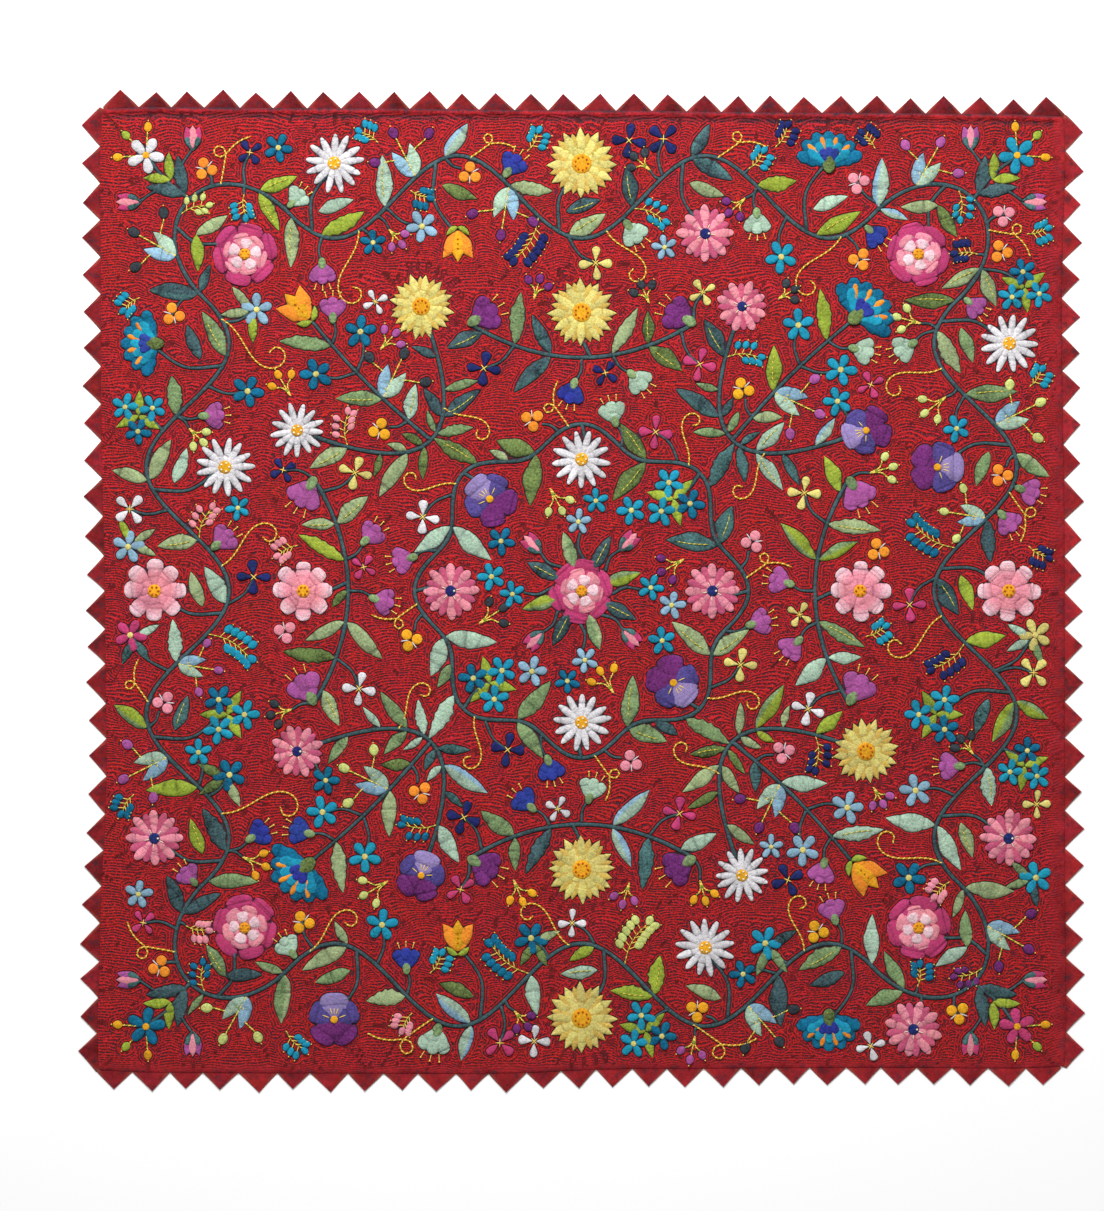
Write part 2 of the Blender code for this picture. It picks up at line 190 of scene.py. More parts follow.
def along_rim(edge, share):
    """Plan of an edge of the body at shares from 0 to 1 along it."""
    rim = RIMS[edge]
    along = rim[:, EDGE_AXES[edge][0]]
    return pick(share, (along - along[0]) / (along[-1] - along[0]), rim)


def plan(a, b):
    """Plan of the body at shares a across and b up, blended from its four edges."""
    a, b = np.asarray(a)[..., None], np.asarray(b)[..., None]
    low, high = along_rim("bottom", a[..., 0]), along_rim("top", a[..., 0])
    left, right = along_rim("left", b[..., 0]), along_rim("right", b[..., 0])
    corners = [[along_rim(e, s) for s in (0, 1)] for e in ("bottom", "top")]
    flat = (1 - b) * ((1 - a) * corners[0][0] + a * corners[0][1])
    flat = flat + b * ((1 - a) * corners[1][0] + a * corners[1][1])
    return (1 - b) * low + b * high + (1 - a) * left + a * right - flat


def face_height(x, y):
    rise = np.sin(11.3 * x + 1.1) * np.sin(9.7 * y + 0.4) + 0.6 * np.sin(15.1 * (x - y))
    return FACE + SWELL * rise


# ---- Curves that the stems follow ----


def heading(angle):
    return Vector((math.cos(angle), math.sin(angle)))


def angle_of(vector):
    return math.atan2(vector.y, vector.x)


def border_line(share):
    """Point and outward normal on the rounded square that the border vine follows. share runs
    from 0 to 1, clockwise from the middle of the top edge."""
    flat = BORDER_REACH - BORDER_CORNER
    quarter = 2 * flat + BORDER_CORNER * math.pi / 2
    side, along = divmod((share % 1.0) * 4 * quarter + flat, quarter)
    if along <= 2 * flat:
        point, normal = Vector((along - flat, BORDER_REACH)), Vector((0, 1))
    else:
        angle = math.pi / 2 - (along - 2 * flat) / BORDER_CORNER
        normal = Vector((math.cos(angle), math.sin(angle)))
        point = Vector((flat, flat)) + normal * BORDER_CORNER
    turn = Matrix.Rotation(-side * math.pi / 2, 2)
    return turn @ point, turn @ normal


def border_vine(share):
    point, normal = border_line(share)
    return point - normal * BORDER_WAVE * math.cos(2 * math.pi * BORDER_WAVES * share)


def wreath_line(share):
    angle = math.tau * share
    return heading(angle) * (WREATH_RADIUS + WREATH_WAVE * math.cos(WREATH_HEADS * angle))


def bowl(direction, foot, spread, half):
    """A curve that opens away from the middle of the quilt, for shares from 0 to 1."""

    def line(share):
        across = (2 * share - 1) * half
        return direction * (foot + spread * across * across) + direction.orthogonal() * across

    return line


CORNERS = ("ne", "se", "sw", "nw")
COMPASS = {"n": Vector((0, 1)), "e": Vector((1, 0)), "s": Vector((0, -1)), "w": Vector((-1, 0))}
COMPASS.update({name: (COMPASS[name[0]] + COMPASS[name[1]]).normalized() for name in CORNERS})


def garland_line(name):
    return bowl(COMPASS[name], GARLAND_RADIUS, GARLAND_RISE, GARLAND_HALF)


def spray_line(name):
    return bowl(COMPASS[name], SPRAY_FOOT, SPRAY_SPREAD, SPRAY_HALF)


def spray_middle(name):
    """The middle stem of a spray, a little bowed."""

    def line(share):
        bow = COMPASS[name].orthogonal() * 0.008 * math.sin(math.pi * share)
        return COMPASS[name] * (SPRAY_FOOT + share * SPRAY_LENGTH) + bow

    return line


def curve_through(points, count):
    """Points spaced evenly along a smooth curve through the given ones."""
    ends = [points[0] * 2 - points[1], *points, points[-1] * 2 - points[-2]]
    fine = []
    for a, b, c, d in zip(ends, ends[1:], ends[2:], ends[3:]):
        for k in range(12):
            t = k / 12
            ease = 2 * b + (c - a) * t + (2 * a - 5 * b + 4 * c - d) * t**2
            fine.append((ease + (3 * b - a - 3 * c + d) * t**3) / 2)
    fine.append(points[-1])
    return evenly(fine, count)


def evenly(points, count):
    """The same curve with points at even distances along it."""
    places = np.array([p[:] for p in points])
    run = run_of(places)
    return pick(np.linspace(0, run[-1], count), run, places)


# ---- Padded appliqué ----

OUTLINES = []  # round every patch: points, outward normals, closed or not, for the quilting


class Room:
    """How far each spot of the ground is from what is already sewn on it, or from the edge."""

    CELL, REACH, EDGE, FAR = 0.004, 0.82, 0.796, 0.10

    def __init__(self):
        self.steps = np.arange(-self.REACH, self.REACH, self.CELL)
        x, y = np.meshgrid(self.steps, self.steps, indexing="ij")
        self.free = np.minimum(self.EDGE - np.maximum(abs(x), abs(y)), self.FAR)

    def mark(self, points):
        """Takes the ground round these points."""
        points = np.asarray([p[:2] for p in points])
        low = np.searchsorted(self.steps, points.min(0) - self.FAR)
        high = np.searchsorted(self.steps, points.max(0) + self.FAR)
        xs, ys = self.steps[low[0]:high[0]], self.steps[low[1]:high[1]]
        part = self.free[low[0]:high[0], low[1]:high[1]]
        for x, y in points:
            np.minimum(part, np.hypot(xs[:, None] - x, ys[None] - y), out=part)

    def space(self, point):
        """The clear distance round a point."""
        i, j = (int(round((value + self.REACH) / self.CELL)) for value in point[:2])
        if not (0 <= i < len(self.steps) and 0 <= j < len(self.steps)):
            return -1.0
        return self.free[i, j]

    def widest(self):
        i, j = np.unravel_index(self.free.argmax(), self.free.shape)
        return Vector((self.steps[i], self.steps[j])), self.free[i, j]


room = Room()
ATTRIBUTES = {1: ("FLOAT", "value"), 3: ("FLOAT_VECTOR", "vector"), 4: ("FLOAT_COLOR", "color")}


def add_object(name, data):
    thing = bpy.data.objects.new(name, data)
    bpy.context.scene.collection.objects.link(thing)
    return thing


def make_piece(name, verts, faces, material, values, normals=None):
    """A piece of the quilt. values are named numbers, vectors or colours for its points."""
    mesh = bpy.data.meshes.new(name)
    mesh.from_pydata(verts.reshape(-1, 3).tolist(), [], faces)
    for label, numbers in values.items():
        numbers = numbers.reshape(len(mesh.vertices), -1)
        kind, key = ATTRIBUTES[numbers.shape[1]]
        layer = mesh.attributes.new(label, kind, "POINT")
        layer.data.foreach_set(key, numbers.ravel().astype("f"))
    mesh.shade_smooth()
    if normals is not None:
        mesh.normals_split_custom_set_from_vertices(normals.reshape(-1, 3).tolist())
    mesh.materials.append(material)
    piece = add_object(name, mesh)
    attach(piece, "root")
    return piece


class Cloth:
    """Patches gathered into one mesh, with the dye of each and its folds, where padded patches get
    painted shade and prairie points their worn edges. The grain is how far a point lies along its
    patch and across it, and how near its edge, from 0 to 1."""

    def __init__(self, name):
        self.name, self.patches, self.faces, self.count = name, [], [], 0

    def put(self, verts, faces, dyes, folds=None, grain=None):
        self.faces += [tuple(self.count + i for i in face) for face in faces]
        self.count += len(verts)
        folds = np.zeros(len(verts)) if folds is None else folds
        grain = np.zeros((len(verts), 3)) if grain is None else grain
        dyes = np.broadcast_to(dyes, (len(verts), 3))
        self.patches.append((verts, dyes, folds, grain))

    def made(self, material, slot, nodes=(), fill=None):
        """Turns the patches into one piece of the quilt."""
        verts, dyes, folds, grain = map(np.concatenate, zip(*self.patches))
        values = {"dye": np.hstack([dyes, np.ones((len(dyes), 1))]), "fold": folds, "grain": grain}
        piece = make_piece(self.name, verts, self.faces, material, values)
        if nodes:
            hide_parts(*nodes)
        return piece


PIECES = {}


def cloth(name):
    """The piece that patches of one kind are gathered in."""
    return PIECES.setdefault(name, Cloth(name))


def loft_faces(rings, points):
    """Faces of a closed form lofted through rings of so many points, with both ends shut."""
    faces = []
    for ring in range(rings - 1):
        a = ring * points
        for k in range(points):
            j = (k + 1) % points
            faces.append((a + k, a + j, a + points + j, a + points + k))
    faces.append(tuple(range(points))[::-1])
    faces.append(tuple((rings - 1) * points + k for k in range(points)))
    return faces


def ellipse(t):
    return np.sqrt((t * (1 - t)).clip(0)) * 2


# Width of a patch along its length, from its root to its tip, as a share of its full width.
SHAPES = {
    "oval": ellipse,
    "petal": lambda t: 0.30 * (1 - t) ** 2 + ellipse(t**1.35) * (0.72 + 0.28 * t),
    "narrow": lambda t: 0.42 * (1 - t) ** 3 + ellipse(t**1.1) ** 0.8,
    "flame": lambda t: 1.05 * (0.34 * (1 - t) ** 3 + np.sin(np.pi * t**0.8) ** 0.8),
    "drop": lambda t: 1.02 * ellipse(t**1.7) * (0.35 + 0.65 * t) / 0.86,
    "leaf": lambda t: np.sin(np.pi * t**0.86) ** 0.85,
    "broad": lambda t: 0.22 * (1 - t) ** 2 + ellipse(t**1.9) ** 0.7,
}
ACROSS = np.array([-1.0, -0.86, -0.42, 0.0, 0.42, 0.86, 1.0])  # across a broad patch
NARROW = np.array([-1.0, -0.70, 0.0, 0.70, 1.0])  # and across a narrow one
UNDER = ((0, 0), (0, 1))  # one more column of points, for the middle of the underside


def on_ground(flat, layer):
    return face_height(flat[..., 0], flat[..., 1]) + layer * LAYER


def blade(name, root, angle, length, width, shape, tint, chance, layer=0, puff=0.0030,
          bend=0.0, puckers=0, teeth=0, tip=None, sides=None, lean=0.0):
    """One padded patch, from its root along a heading. bend turns it along its length, lean
    makes one side fuller and curls its tip, teeth cut small notches in its edge, and tip and
    sides give other dyes there."""
    across = ACROSS if width > 0.0135 else NARROW
    marks = 0.5 - 0.5 * np.cos(np.linspace(0, np.pi, 8 if length < 0.03 else 12))
    pleats = sorted(chance.uniform(0.22, 0.88) for _ in range(puckers))
    for at in pleats:
        marks = np.append(marks, [at - 0.035, at, at + 0.035])
    if teeth:
        marks = np.append(marks, np.linspace(0.12, 0.95, 2 * teeth))
    marks = np.unique(marks.clip(0.004, 0.996).round(4))
    column = marks[:, None]
    half = (SHAPES[shape](marks) * width / 2).clip(width * 0.045)
    half *= 1 + 0.05 * np.sin(marks * 9 + chance.uniform(0, 6))
    if teeth:
        notched = (np.cos(marks * teeth * 2 * np.pi) > 0) * (marks > 0.1) * (marks < 0.97)
        half *= 1 - 0.16 * notched
    turn = angle + bend * (marks - 0.35) - lean * 5.0 * (marks - 0.62).clip(0) ** 1.5
    steps = np.diff(marks, prepend=0)[:, None] * length
    spine = np.array(root[:]) + (np.stack([np.cos(turn), np.sin(turn)], -1) * steps).cumsum(0)
    left = np.stack([-np.sin(turn), np.cos(turn)], -1)

    pinch = np.zeros((len(marks), len(across)))
    for at in pleats:
        slant = chance.uniform(-0.05, 0.05)
        fold = np.exp(-(((column - at + slant * across) / 0.028) ** 2))
        pinch += fold * chance.uniform(0.6, 1)
    pinch = pinch.clip(0, 1)
    rise = np.where(abs(across) < 1, np.sqrt(1 - abs(across * 0.985) ** 2.6), -0.12)
    ends = (half / (0.55 * width / 2)).clip(0, 1) ** 0.5
    height = puff * rise * ends[:, None] * (1 - 0.6 * pinch)
    height *= 1 + 0.12 * np.sin(column * 11 + across * 2 + chance.uniform(0, 6))
    ragged = np.array([[chance.uniform(-1, 1) for _ in across] for _ in marks])
    ragged = 1 + 0.045 * ragged * (abs(across) == 1)
    fuller = 1 + lean * np.sign(across) * np.sin(np.pi * marks)[:, None]
    reach = half[:, None] * ragged * (1 - 0.14 * pinch[:, [-1]]) * fuller * across
    top = spine[:, None] + left[:, None] * reach[..., None]
    flat = np.concatenate([top, spine[:, None]], axis=1)
    heights = on_ground(flat, layer) + np.pad(height, UNDER, constant_values=-0.0009)

    colours = np.tile(dye(tint, chance.uniform(0.93, 1.05)), (*flat.shape[:2], 1))
    if tip:
        share = np.clip((marks - 0.45) / 0.5, 0, 1)[:, None, None]
        colours = colours * (1 - share) + np.array(dye(tip)) * share
    if sides:
        colours[:, np.append(across, 1) > 0.05] = dye(sides)
    along = chance.random() + column * length
    edge = np.maximum(np.append(abs(across), 1), abs(2 * column - 1) ** 3)
    grain = np.dstack(np.broadcast_arrays(along, np.pad(reach, UNDER), edge))
    # The pinch of the pleats goes in as folds, where shade is painted.
    cloth(name).put(np.dstack([flat, heights]).reshape(-1, 3), loft_faces(*flat.shape[:2]),
                    colours.reshape(-1, 3), np.pad(pinch, UNDER).ravel(), grain.reshape(-1, 3))

    rim = np.concatenate([top[:, 0], top[::-1, -1]])
    OUTLINES.append((rim, np.concatenate([-left, left[::-1]]), True))
    room.mark(np.concatenate([rim[::2], spine[::2]]))
    return Vector(spine[-1])


DOME = ((0.93, -0.35), (1.0, 0.20), (0.94, 0.66), (0.76, 0.94), (0.40, 1.0))  # reach, height
KNOT = ((0.85, -0.30), (1.0, 0.25), (0.62, 0.88))


def dome(name, centre, radius, count, tint, chance, layer=0, puff=0.0030, outlined=False):
    """A padded round patch with so many sides, quilted round if outlined."""
    rings, rises = np.array(DOME if radius > 0.004 else KNOT).T
    angles = np.linspace(0, 2 * np.pi, count, endpoint=False)
    around = np.stack([np.cos(angles), np.sin(angles)], -1)
    flat = np.array(centre[:]) + around * (rings * radius)[:, None, None]
    wave = 1 + 0.07 * np.sin(angles * 3 + chance.uniform(0, 6)) * (rings[:, None] < 0.95)
    heights = on_ground(flat, layer) + puff * rises[:, None] * wave
    ground = on_ground(np.array(centre[:]), layer)
    ends = [[*centre[:], ground + puff], [*centre[:], ground - 0.0006]]
    verts = np.vstack([np.dstack([flat, heights]).reshape(-1, 3), ends])
    faces = loft_faces(len(rings), count)[:-2]
    last = len(rings) * count
    for k in range(count):
        j = (k + 1) % count
        faces += [(last - count + k, last - count + j, last), (j, k, last + 1)]
    colour = dye(tint, chance.uniform(0.95, 1.04))
    reach = np.append(np.repeat(rings, count), [0, 0])
    turn = np.append(np.tile(angles, len(rings)), [0, 0])
    grain = np.stack([chance.random() + turn * radius, reach * radius, reach], -1)
    cloth(name).put(verts, faces, colour, grain=grain)
    if outlined:
        OUTLINES.append((flat[1], around, True))
    room.mark([centre, *flat[1][::2]])


def strip(name, path, width=STEM_WIDTH, puff=0.0023, taper=0.0, closed=False):
    """A padded bias strip along a path. taper narrows it towards its end."""
    along = np.gradient(path, axis=0)
    if closed:
        along = np.roll(path, -1, axis=0) - np.roll(path, 1, axis=0)
    along /= np.hypot(*along.T)[:, None]
    left = np.stack([-along[:, 1], along[:, 0]], -1)
    across = np.array([-1.0, -0.72, 0.0, 0.72, 1.0, 0.8, -0.8])
    rise = np.array([0.12, 0.78, 1.0, 0.78, 0.12, -0.30, -0.30])
    shares = np.linspace(0, 1, len(path))
    wide = width / 2 * (1 - taper * shares) * (1 + 0.06 * np.sin(shares * len(path) * 0.7))
    reach = wide[:, None] * across
    flat = path[:, None] + left[:, None] * reach[..., None]
    verts = np.dstack([flat, on_ground(flat, 0) + puff * rise]).reshape(-1, 3)
    faces = loft_faces(len(path), len(across))
    if closed:
        last, n = (len(path) - 1) * len(across), len(across)
        faces = faces[:-2] + [(last + k, last + (k + 1) % n, (k + 1) % n, k) for k in range(n)]
    grain = np.dstack(np.broadcast_arrays(run_of(path)[:, None], reach, abs(across)))
    cloth(name).put(verts, faces, dye("slate"), grain=grain.reshape(-1, 3))
    OUTLINES.extend([(flat[:, 0], -left, closed), (flat[:, 4], left, closed)])
    room.mark(path)


# ---- Embroidery ----


# By default every other stitch takes shaded_thread, a darker copy of the thread, as painted shade.
def stitches(points, tints=("thread", "shaded_thread"), width=THREAD_WIDTH, layer=1):
    """A line of stem stitch: short slanted stitches, each lying a little over the last."""
    length = sum((b - a).length for a, b in zip(points, points[1:]))
    marks = curve_through(points, max(1, round(length / (STITCH * 0.80))) + 1)
    room.mark(marks)
    for k, (a, b) in enumerate(zip(marks, marks[1:])):
        a, b = Vector(a), Vector(b)
        slant = (b - a).normalized().orthogonal() * width * 0.26
        one_stitch(a - slant, b + slant, width, layer, tints[k % len(tints)])


SPINDLE = ((0.0, 0.20, 0.0), (0.24, 0.9, 0.62), (0.76, 0.9, 0.62), (1.0, 0.20, 0.0))
THREAD_SECTION = ((-1.0, -0.2), (-0.45, 0.8), (0.45, 0.8), (1.0, -0.2))


def one_stitch(a, b, width=FINE_THREAD, layer=1, tint="thread", name="yellow_stitching"):
    """One stitch of thick thread, a plump spindle with its ends in the cloth."""
    along = (b - a).normalized()
    left = Vector((-along.y, along.x))
    reach = (b - a).length + width * 0.5
    verts = []
    for t, wide, lift in SPINDLE:
        spot = (a + b) / 2 + along * (t - 0.5) * reach
        for w, h in THREAD_SECTION:
            place = spot + left * w * wide * width / 2
            height = float(face_height(place.x, place.y)) + layer * LAYER
            verts.append((place.x, place.y, height + width * (0.5 * lift + 0.55 * h * wide)))
    faces = loft_faces(len(SPINDLE), len(THREAD_SECTION))
    cloth(name).put(np.array(verts), faces, dye(tint))


def knot(place, tint, chance, radius=0.0021, layer=2):
    """A French knot: a small plump button of thread."""
    dome("french_knots", place, radius, 6, tint, chance, layer, radius * 1.5)


# ---- Flowers, leaves and berries ----


def ring_of_petals(name, centre, start, count, root, length, width, shape, tint, chance, **kinds):
    for k in range(count):
        angle = start + math.tau * k / count + chance.uniform(-0.05, 0.05)
        reach = length * chance.uniform(0.94, 1.05)
        blade(name, centre + heading(angle) * root, angle, reach, width, shape, tint, chance,
              **kinds)


def button(centre, radius, tint, chance, knots=0, knot_tint="rust", layer=3):
    """A flower's padded middle, with a ring of French knots."""
    dome("flower_middles", centre, radius, 20, tint, chance, layer, 0.0036)
    for k in range(knots):
        spot = centre + heading(math.tau * k / knots) * radius * 0.62
        knot(spot, knot_tint, chance, layer=layer + 4)


# Round flowers: their piece, rings of petals and middle. A ring has its turn, number of petals,
# root, length, width, shape, dye, layer and puckers. A middle has its radius, dye, knots, the
# dye of those and its layer.
ROUND_FLOWERS = {
    "sunflower": ("sunflowers", (
        (0.26, 12, 0.014, 0.041, 0.017, "flame", "straw", 0, 0),
        (0.0, 12, 0.013, 0.047, 0.0185, "flame", "butter", 1, 1)), (0.0175, "gold", 9, "rust", 3)),
    "daisy": ("daisies", (
        (0.0, 13, 0.008, 0.042, 0.0125, "narrow", "white", 1, 1),),
        (0.0115, "gold", 5, "cream", 3)),
    "aster": ("asters", (
        (0.39, 8, 0.008, 0.037, 0.016, "petal", "rose_pink", 0, 0),
        (0.0, 8, 0.007, 0.041, 0.0185, "petal", "pink", 1, 2)), (0.0095, "navy", 1, "cream", 3)),
    "rose": ("roses", (
        (0.0, 6, 0.015, 0.039, 0.046, "broad", "hot_pink", 0, 2),
        (0.5, 6, 0.009, 0.028, 0.033, "broad", "pink", 2, 1),
        (1.0, 5, 0.009, 0.018, 0.022, "broad", "blush", 4, 0)), (0.0095, "gold", 6, "orange", 6)),
    "cosmos": ("cosmos", (
        (0.0, 8, 0.009, 0.044, 0.0285, "broad", "pink", 1, 2),), (0.0115, "gold", 6, "rust", 3)),
}


def round_flower(kind, centre, facing, chance, size):
    name, rings, (radius, middle, knots, knot_tint, high) = ROUND_FLOWERS[kind]
    for turn, count, root, length, width, shape, tint, layer, puckers in rings:
        ring_of_petals(name, centre, facing + turn, count, root * size, length * size, width * size,
                       shape, tint, chance, layer=layer, puckers=puckers,
                       tip="blush" if kind == "cosmos" else None)
    button(centre, radius * size, middle, chance, knots, knot_tint, high)
    if kind == "aster":
        for k in range(5):
            out = heading(facing + 0.2 + k * math.tau / 5)
            one_stitch(centre + out * 0.009 * size, centre + out * 0.017 * size, FINE_THREAD, 6,
                       "cream", "pale_stitching")


def pansy(centre, facing, chance, size):
    petals = ((0.62, 0.044, 0.044, "purple", 0), (-0.62, 0.044, 0.044, "purple", 0),
              (1.95, 0.040, 0.040, "violet", 1), (-1.95, 0.040, 0.040, "violet", 1),
              (math.pi, 0.042, 0.050, "lilac", 2))
    for turn, length, width, tint, layer in petals:
        angle = facing + turn
        blade("pansies", centre + heading(angle) * 0.003, angle, length * size, width * size,
              "broad", tint, chance, layer=layer, puckers=1)
    for turn in (-0.34, 0.0, 0.34, 1.2, -1.2):
        out = heading(facing + math.pi + turn)
        one_stitch(centre + out * 0.009 * size, centre + out * 0.021 * size, layer=6)
    button(centre, 0.0065 * size, "gold", chance, layer=4)


def blossom(centre, facing, chance, tint, radius, middle="butter"):
    """A small five-petal blossom."""
    ring_of_petals("small_blossoms", centre, facing, 5, radius * 0.16, radius * 0.84,
                   radius * 0.60, "petal", tint, chance, layer=1, puff=0.0028)
    dome("flower_middles", centre, radius * 0.19, 10, middle, chance, 3, 0.0028)


def dogwood(centre, facing, chance, tint, radius):
    """A small four-petal blossom with yellow stitches across its middle."""
    for k in range(4):
        angle = facing + math.pi / 4 + math.pi * k / 2 + chance.uniform(-0.1, 0.1)
        root = centre + heading(angle) * radius * 0.08
        blade("small_blossoms", root, angle, radius * 0.94, radius * (0.62, 0.54)[k % 2], "drop",
              tint, chance, layer=1, puff=0.0028)
    for turn in (0.0, math.pi / 2):
        reach = heading(facing + turn) * radius * 0.26
        one_stitch(centre - reach, centre + reach, 0.0020, layer=5)


def bluets(centre, facing, chance, size):
    """Three blossoms in a ring, with leaves between them."""
    for k, tint in enumerate(("turquoise", "teal", "turquoise")):
        way = facing + math.tau * k / 3
        leaf(centre, facing + math.pi / 3 + math.tau * k / 3, 0.046 * size, 0.018 * size, "lime",
             chance)
        blossom(centre + heading(way) * 0.029 * size, facing + k, chance, tint, 0.0255 * size)


def carnation(centre, facing, chance, size):
    root = centre - heading(facing) * 0.016 * size
    rows = ((7, 1.25, 0.054, 0.0235, "teal", 0, 3), (4, 0.80, 0.046, 0.0105, "orange", 2, 0),
            (5, 0.95, 0.039, 0.0190, "turquoise", 3, 2), (3, 0.45, 0.026, 0.0150, "royal", 5, 0))
    for count, spread, length, width, tint, layer, teeth in rows:
        for k in range(count):
            angle = facing + spread * (2 * k / (count - 1) - 1)
            reach = length * size * chance.uniform(0.95, 1.04)
            blade("carnations", root + heading(angle) * 0.004, angle, reach, width * size, "broad",
                  tint, chance, layer=layer, teeth=teeth, puckers=1 if length > 0.05 else 0)
    blade("calyxes", root - heading(facing) * 0.014 * size, facing, 0.030 * size, 0.022 * size,
          "oval", "moss", chance, layer=6)


def tulip(centre, facing, chance, size):
    root = centre - heading(facing) * 0.018 * size
    for turn, bend, tint, layer in ((0.5, 0.45, "orange", 0), (-0.5, -0.45, "orange", 0),
                                    (0.0, 0.0, "gold", 1)):
        blade("tulips", root + heading(facing + turn) * 0.002, facing + turn * 0.8, 0.052 * size,
              0.026 * size, "leaf", tint, chance, layer=layer, bend=bend, puckers=1)
    for turn in (1.15, -1.15):
        blade("calyxes", root - heading(facing) * 0.004, facing + turn, 0.024 * size, 0.011 * size,
              "leaf", "lime", chance, layer=3, bend=-turn * 0.7)
    for reach in (0.016, 0.024, 0.032):
        knot(root + heading(facing) * reach * size, "rust", chance, 0.0016, 5)


OWN_FORMS = {"pansy": pansy, "bluets": bluets, "carnation": carnation, "tulip": tulip}


def head(kind, centre, facing, chance, size=1.0):
    """A main flower head."""
    if kind in OWN_FORMS:
        OWN_FORMS[kind](centre, facing, chance, size)
    else:
        round_flower(kind, centre, facing, chance, size)


def head_for(node, facing, chance, size=1.0):
    """The flower head in the place of a node of the frame."""
    head(node.split("_")[2], box_middle(node), facing, chance, size)


OTHER_HALF = {"lime": "sage", "sage": "pale_sage", "mint": "ice", "slate": "teal_green"}


def leaf(root, angle, length, width, tint, chance, kind="plain", bend=0.0, vein=False):
    teeth = 5 if kind == "toothed" else 0
    tip = blade("leaves", root, angle, length, width, "leaf", tint, chance, bend=bend,
                puckers=0 if teeth or length < 0.03 else 2, teeth=teeth,
                sides=OTHER_HALF.get(tint) if kind == "parted" else None,
                lean=math.copysign(0.22, bend) if bend and length > 0.04 else 0.0)
    if vein:
        off = heading(angle + bend / 2 + math.pi / 2) * bend * -length * 0.08
        mid = (root + tip) / 2 + off
        line = [root + (mid - root) * 0.35, mid, mid.lerp(tip, 0.55)]
        stitches(line, ("lime", "thread"), FINE_THREAD, 5)


def berry(place, angle, tint, chance, size):
    blade("berries", place - heading(angle) * size / 2, angle, size, size * 0.84, "oval", tint,
          chance, puff=0.0034)
    knot(place + heading(angle) * size * 0.62, "thread", chance, 0.0013)


def berry_spray(root, angle, chance, tint, count, reach, bend, size):
    """Berries on short threads along a curved one."""
    spots = [root + heading(angle + bend * t) * reach * t for t in (0, 0.35, 0.7, 1.0)]
    stitches(spots, ("thread", "lime"), 0.0020)
    for k in range(count - 1):
        t = 0.25 + 0.7 * k / (count - 1)
        foot = root + heading(angle + bend * t) * reach * t
        out = angle + bend * t + (0.95, -0.95)[k % 2]
        end = foot + heading(out) * size * 1.14
        one_stitch(foot, end - heading(out) * 0.005)
        berry(end, out, tint, chance, size)
    berry(spots[-1] + heading(angle + bend) * 0.006, angle + bend, tint, chance, size)


def open_spray(root, angle, chance, tint, reach, size, spread=0.75):
    """Three large berries, each at the end of its own stitched line."""
    for turn in (-spread, 0.0, spread):
        far = reach * (1 if turn else 1.12) * chance.uniform(0.94, 1.04)
        end = root + heading(angle + turn) * (far - size * 0.5)
        middle = root + heading(angle + turn * 0.45) * far * 0.5
        stitches([root, middle, end], ("thread", "thread", "lime"), 0.0026)
        out = angle + turn * 1.35
        berry(end + heading(out) * size * 0.5, out, tint, chance, size)


def trio(root, angle, chance, tint):
    """Three round berries together, with pale stitches between them."""
    for turn in (-2.1, 0.0, 2.1):
        spot = root + heading(angle + turn) * 0.0112
        dome("berries", spot, 0.0092, 14, tint, chance, puff=0.0034, outlined=True)
    for turn in (-1.05, 1.05):
        out = heading(angle + turn)
        one_stitch(root + out * 0.004, root + out * 0.004 + out * 0.013, 0.0024, 3, "white",
                   "pale_stitching")


def bell(root, angle, chance, tint, size):
    """A bellflower seen from its side, with stamens."""
    for turn in (-0.52, 0.52, 0.0):
        blade("bells", root, angle + turn, 0.036 * size, 0.020 * size, "broad", tint, chance,
              layer=0 if turn else 1, puckers=1, bend=turn * 0.5)
    for turn in (-0.3, 0.0, 0.3):
        out = heading(angle + turn)
        tip = root + out * 0.046 * size
        one_stitch(root + out * 0.036 * size, tip)
        knot(tip, "thread", chance, 0.0017)
    blade("calyxes", root - heading(angle) * 0.009 * size, angle, 0.020 * size, 0.0145 * size,
          "oval", "sage", chance, layer=3)


def bud(root, angle, chance, tint, size):
    for turn in (-0.30, 0.30, 0.0):
        blade("buds", root, angle + turn, 0.032 * size, 0.016 * size, "leaf",
              tint if turn else "pink", chance, layer=0 if turn else 1)
    for turn in (-0.5, 0.5):
        blade("calyxes", root - heading(angle) * 0.005, angle + turn, 0.022 * size,
              0.010 * size, "drop", "teal_green", chance, layer=2, bend=-turn)


def tendril_path(root, angle, length, turn, loop):
    """The way of an embroidered curl. With a loop it crosses itself once."""
    spots, steps = [root], 40
    for k in range(steps):
        s = (k + 0.5) / steps
        bend = -0.9 * math.sin(math.pi * s) + 5.4 * s**2.8
        if loop:
            share = min(max((s - 0.26) / 0.46, 0), 1)
            bend = 0.5 * math.sin(math.pi * s) + math.tau * share * share * (3 - 2 * share)
            bend -= 1.2 * s
        spots.append(spots[-1] + heading(angle + turn * bend) * length / steps)
    return spots


# ---- The design ----

STEM_SPOTS = []  # points along every stem
BORDER_HEADS = sorted(node for node in nodes_with("border_") if node[7].isdigit())
BORDER_COUNT = 2 * BORDER_WAVES


def in_turn(choices, number):
    return choices[number % len(choices)]


def main_stem(name, line, count, closed=False, taper=0.0):
    """A stem along a line of shares from 0 to 1."""
    path = evenly([line(k / (2 * count)) for k in range(2 * count + 1)], count)
    strip(name, path[:-1] if closed else path, closed=closed, taper=taper)
    STEM_SPOTS.extend(path)


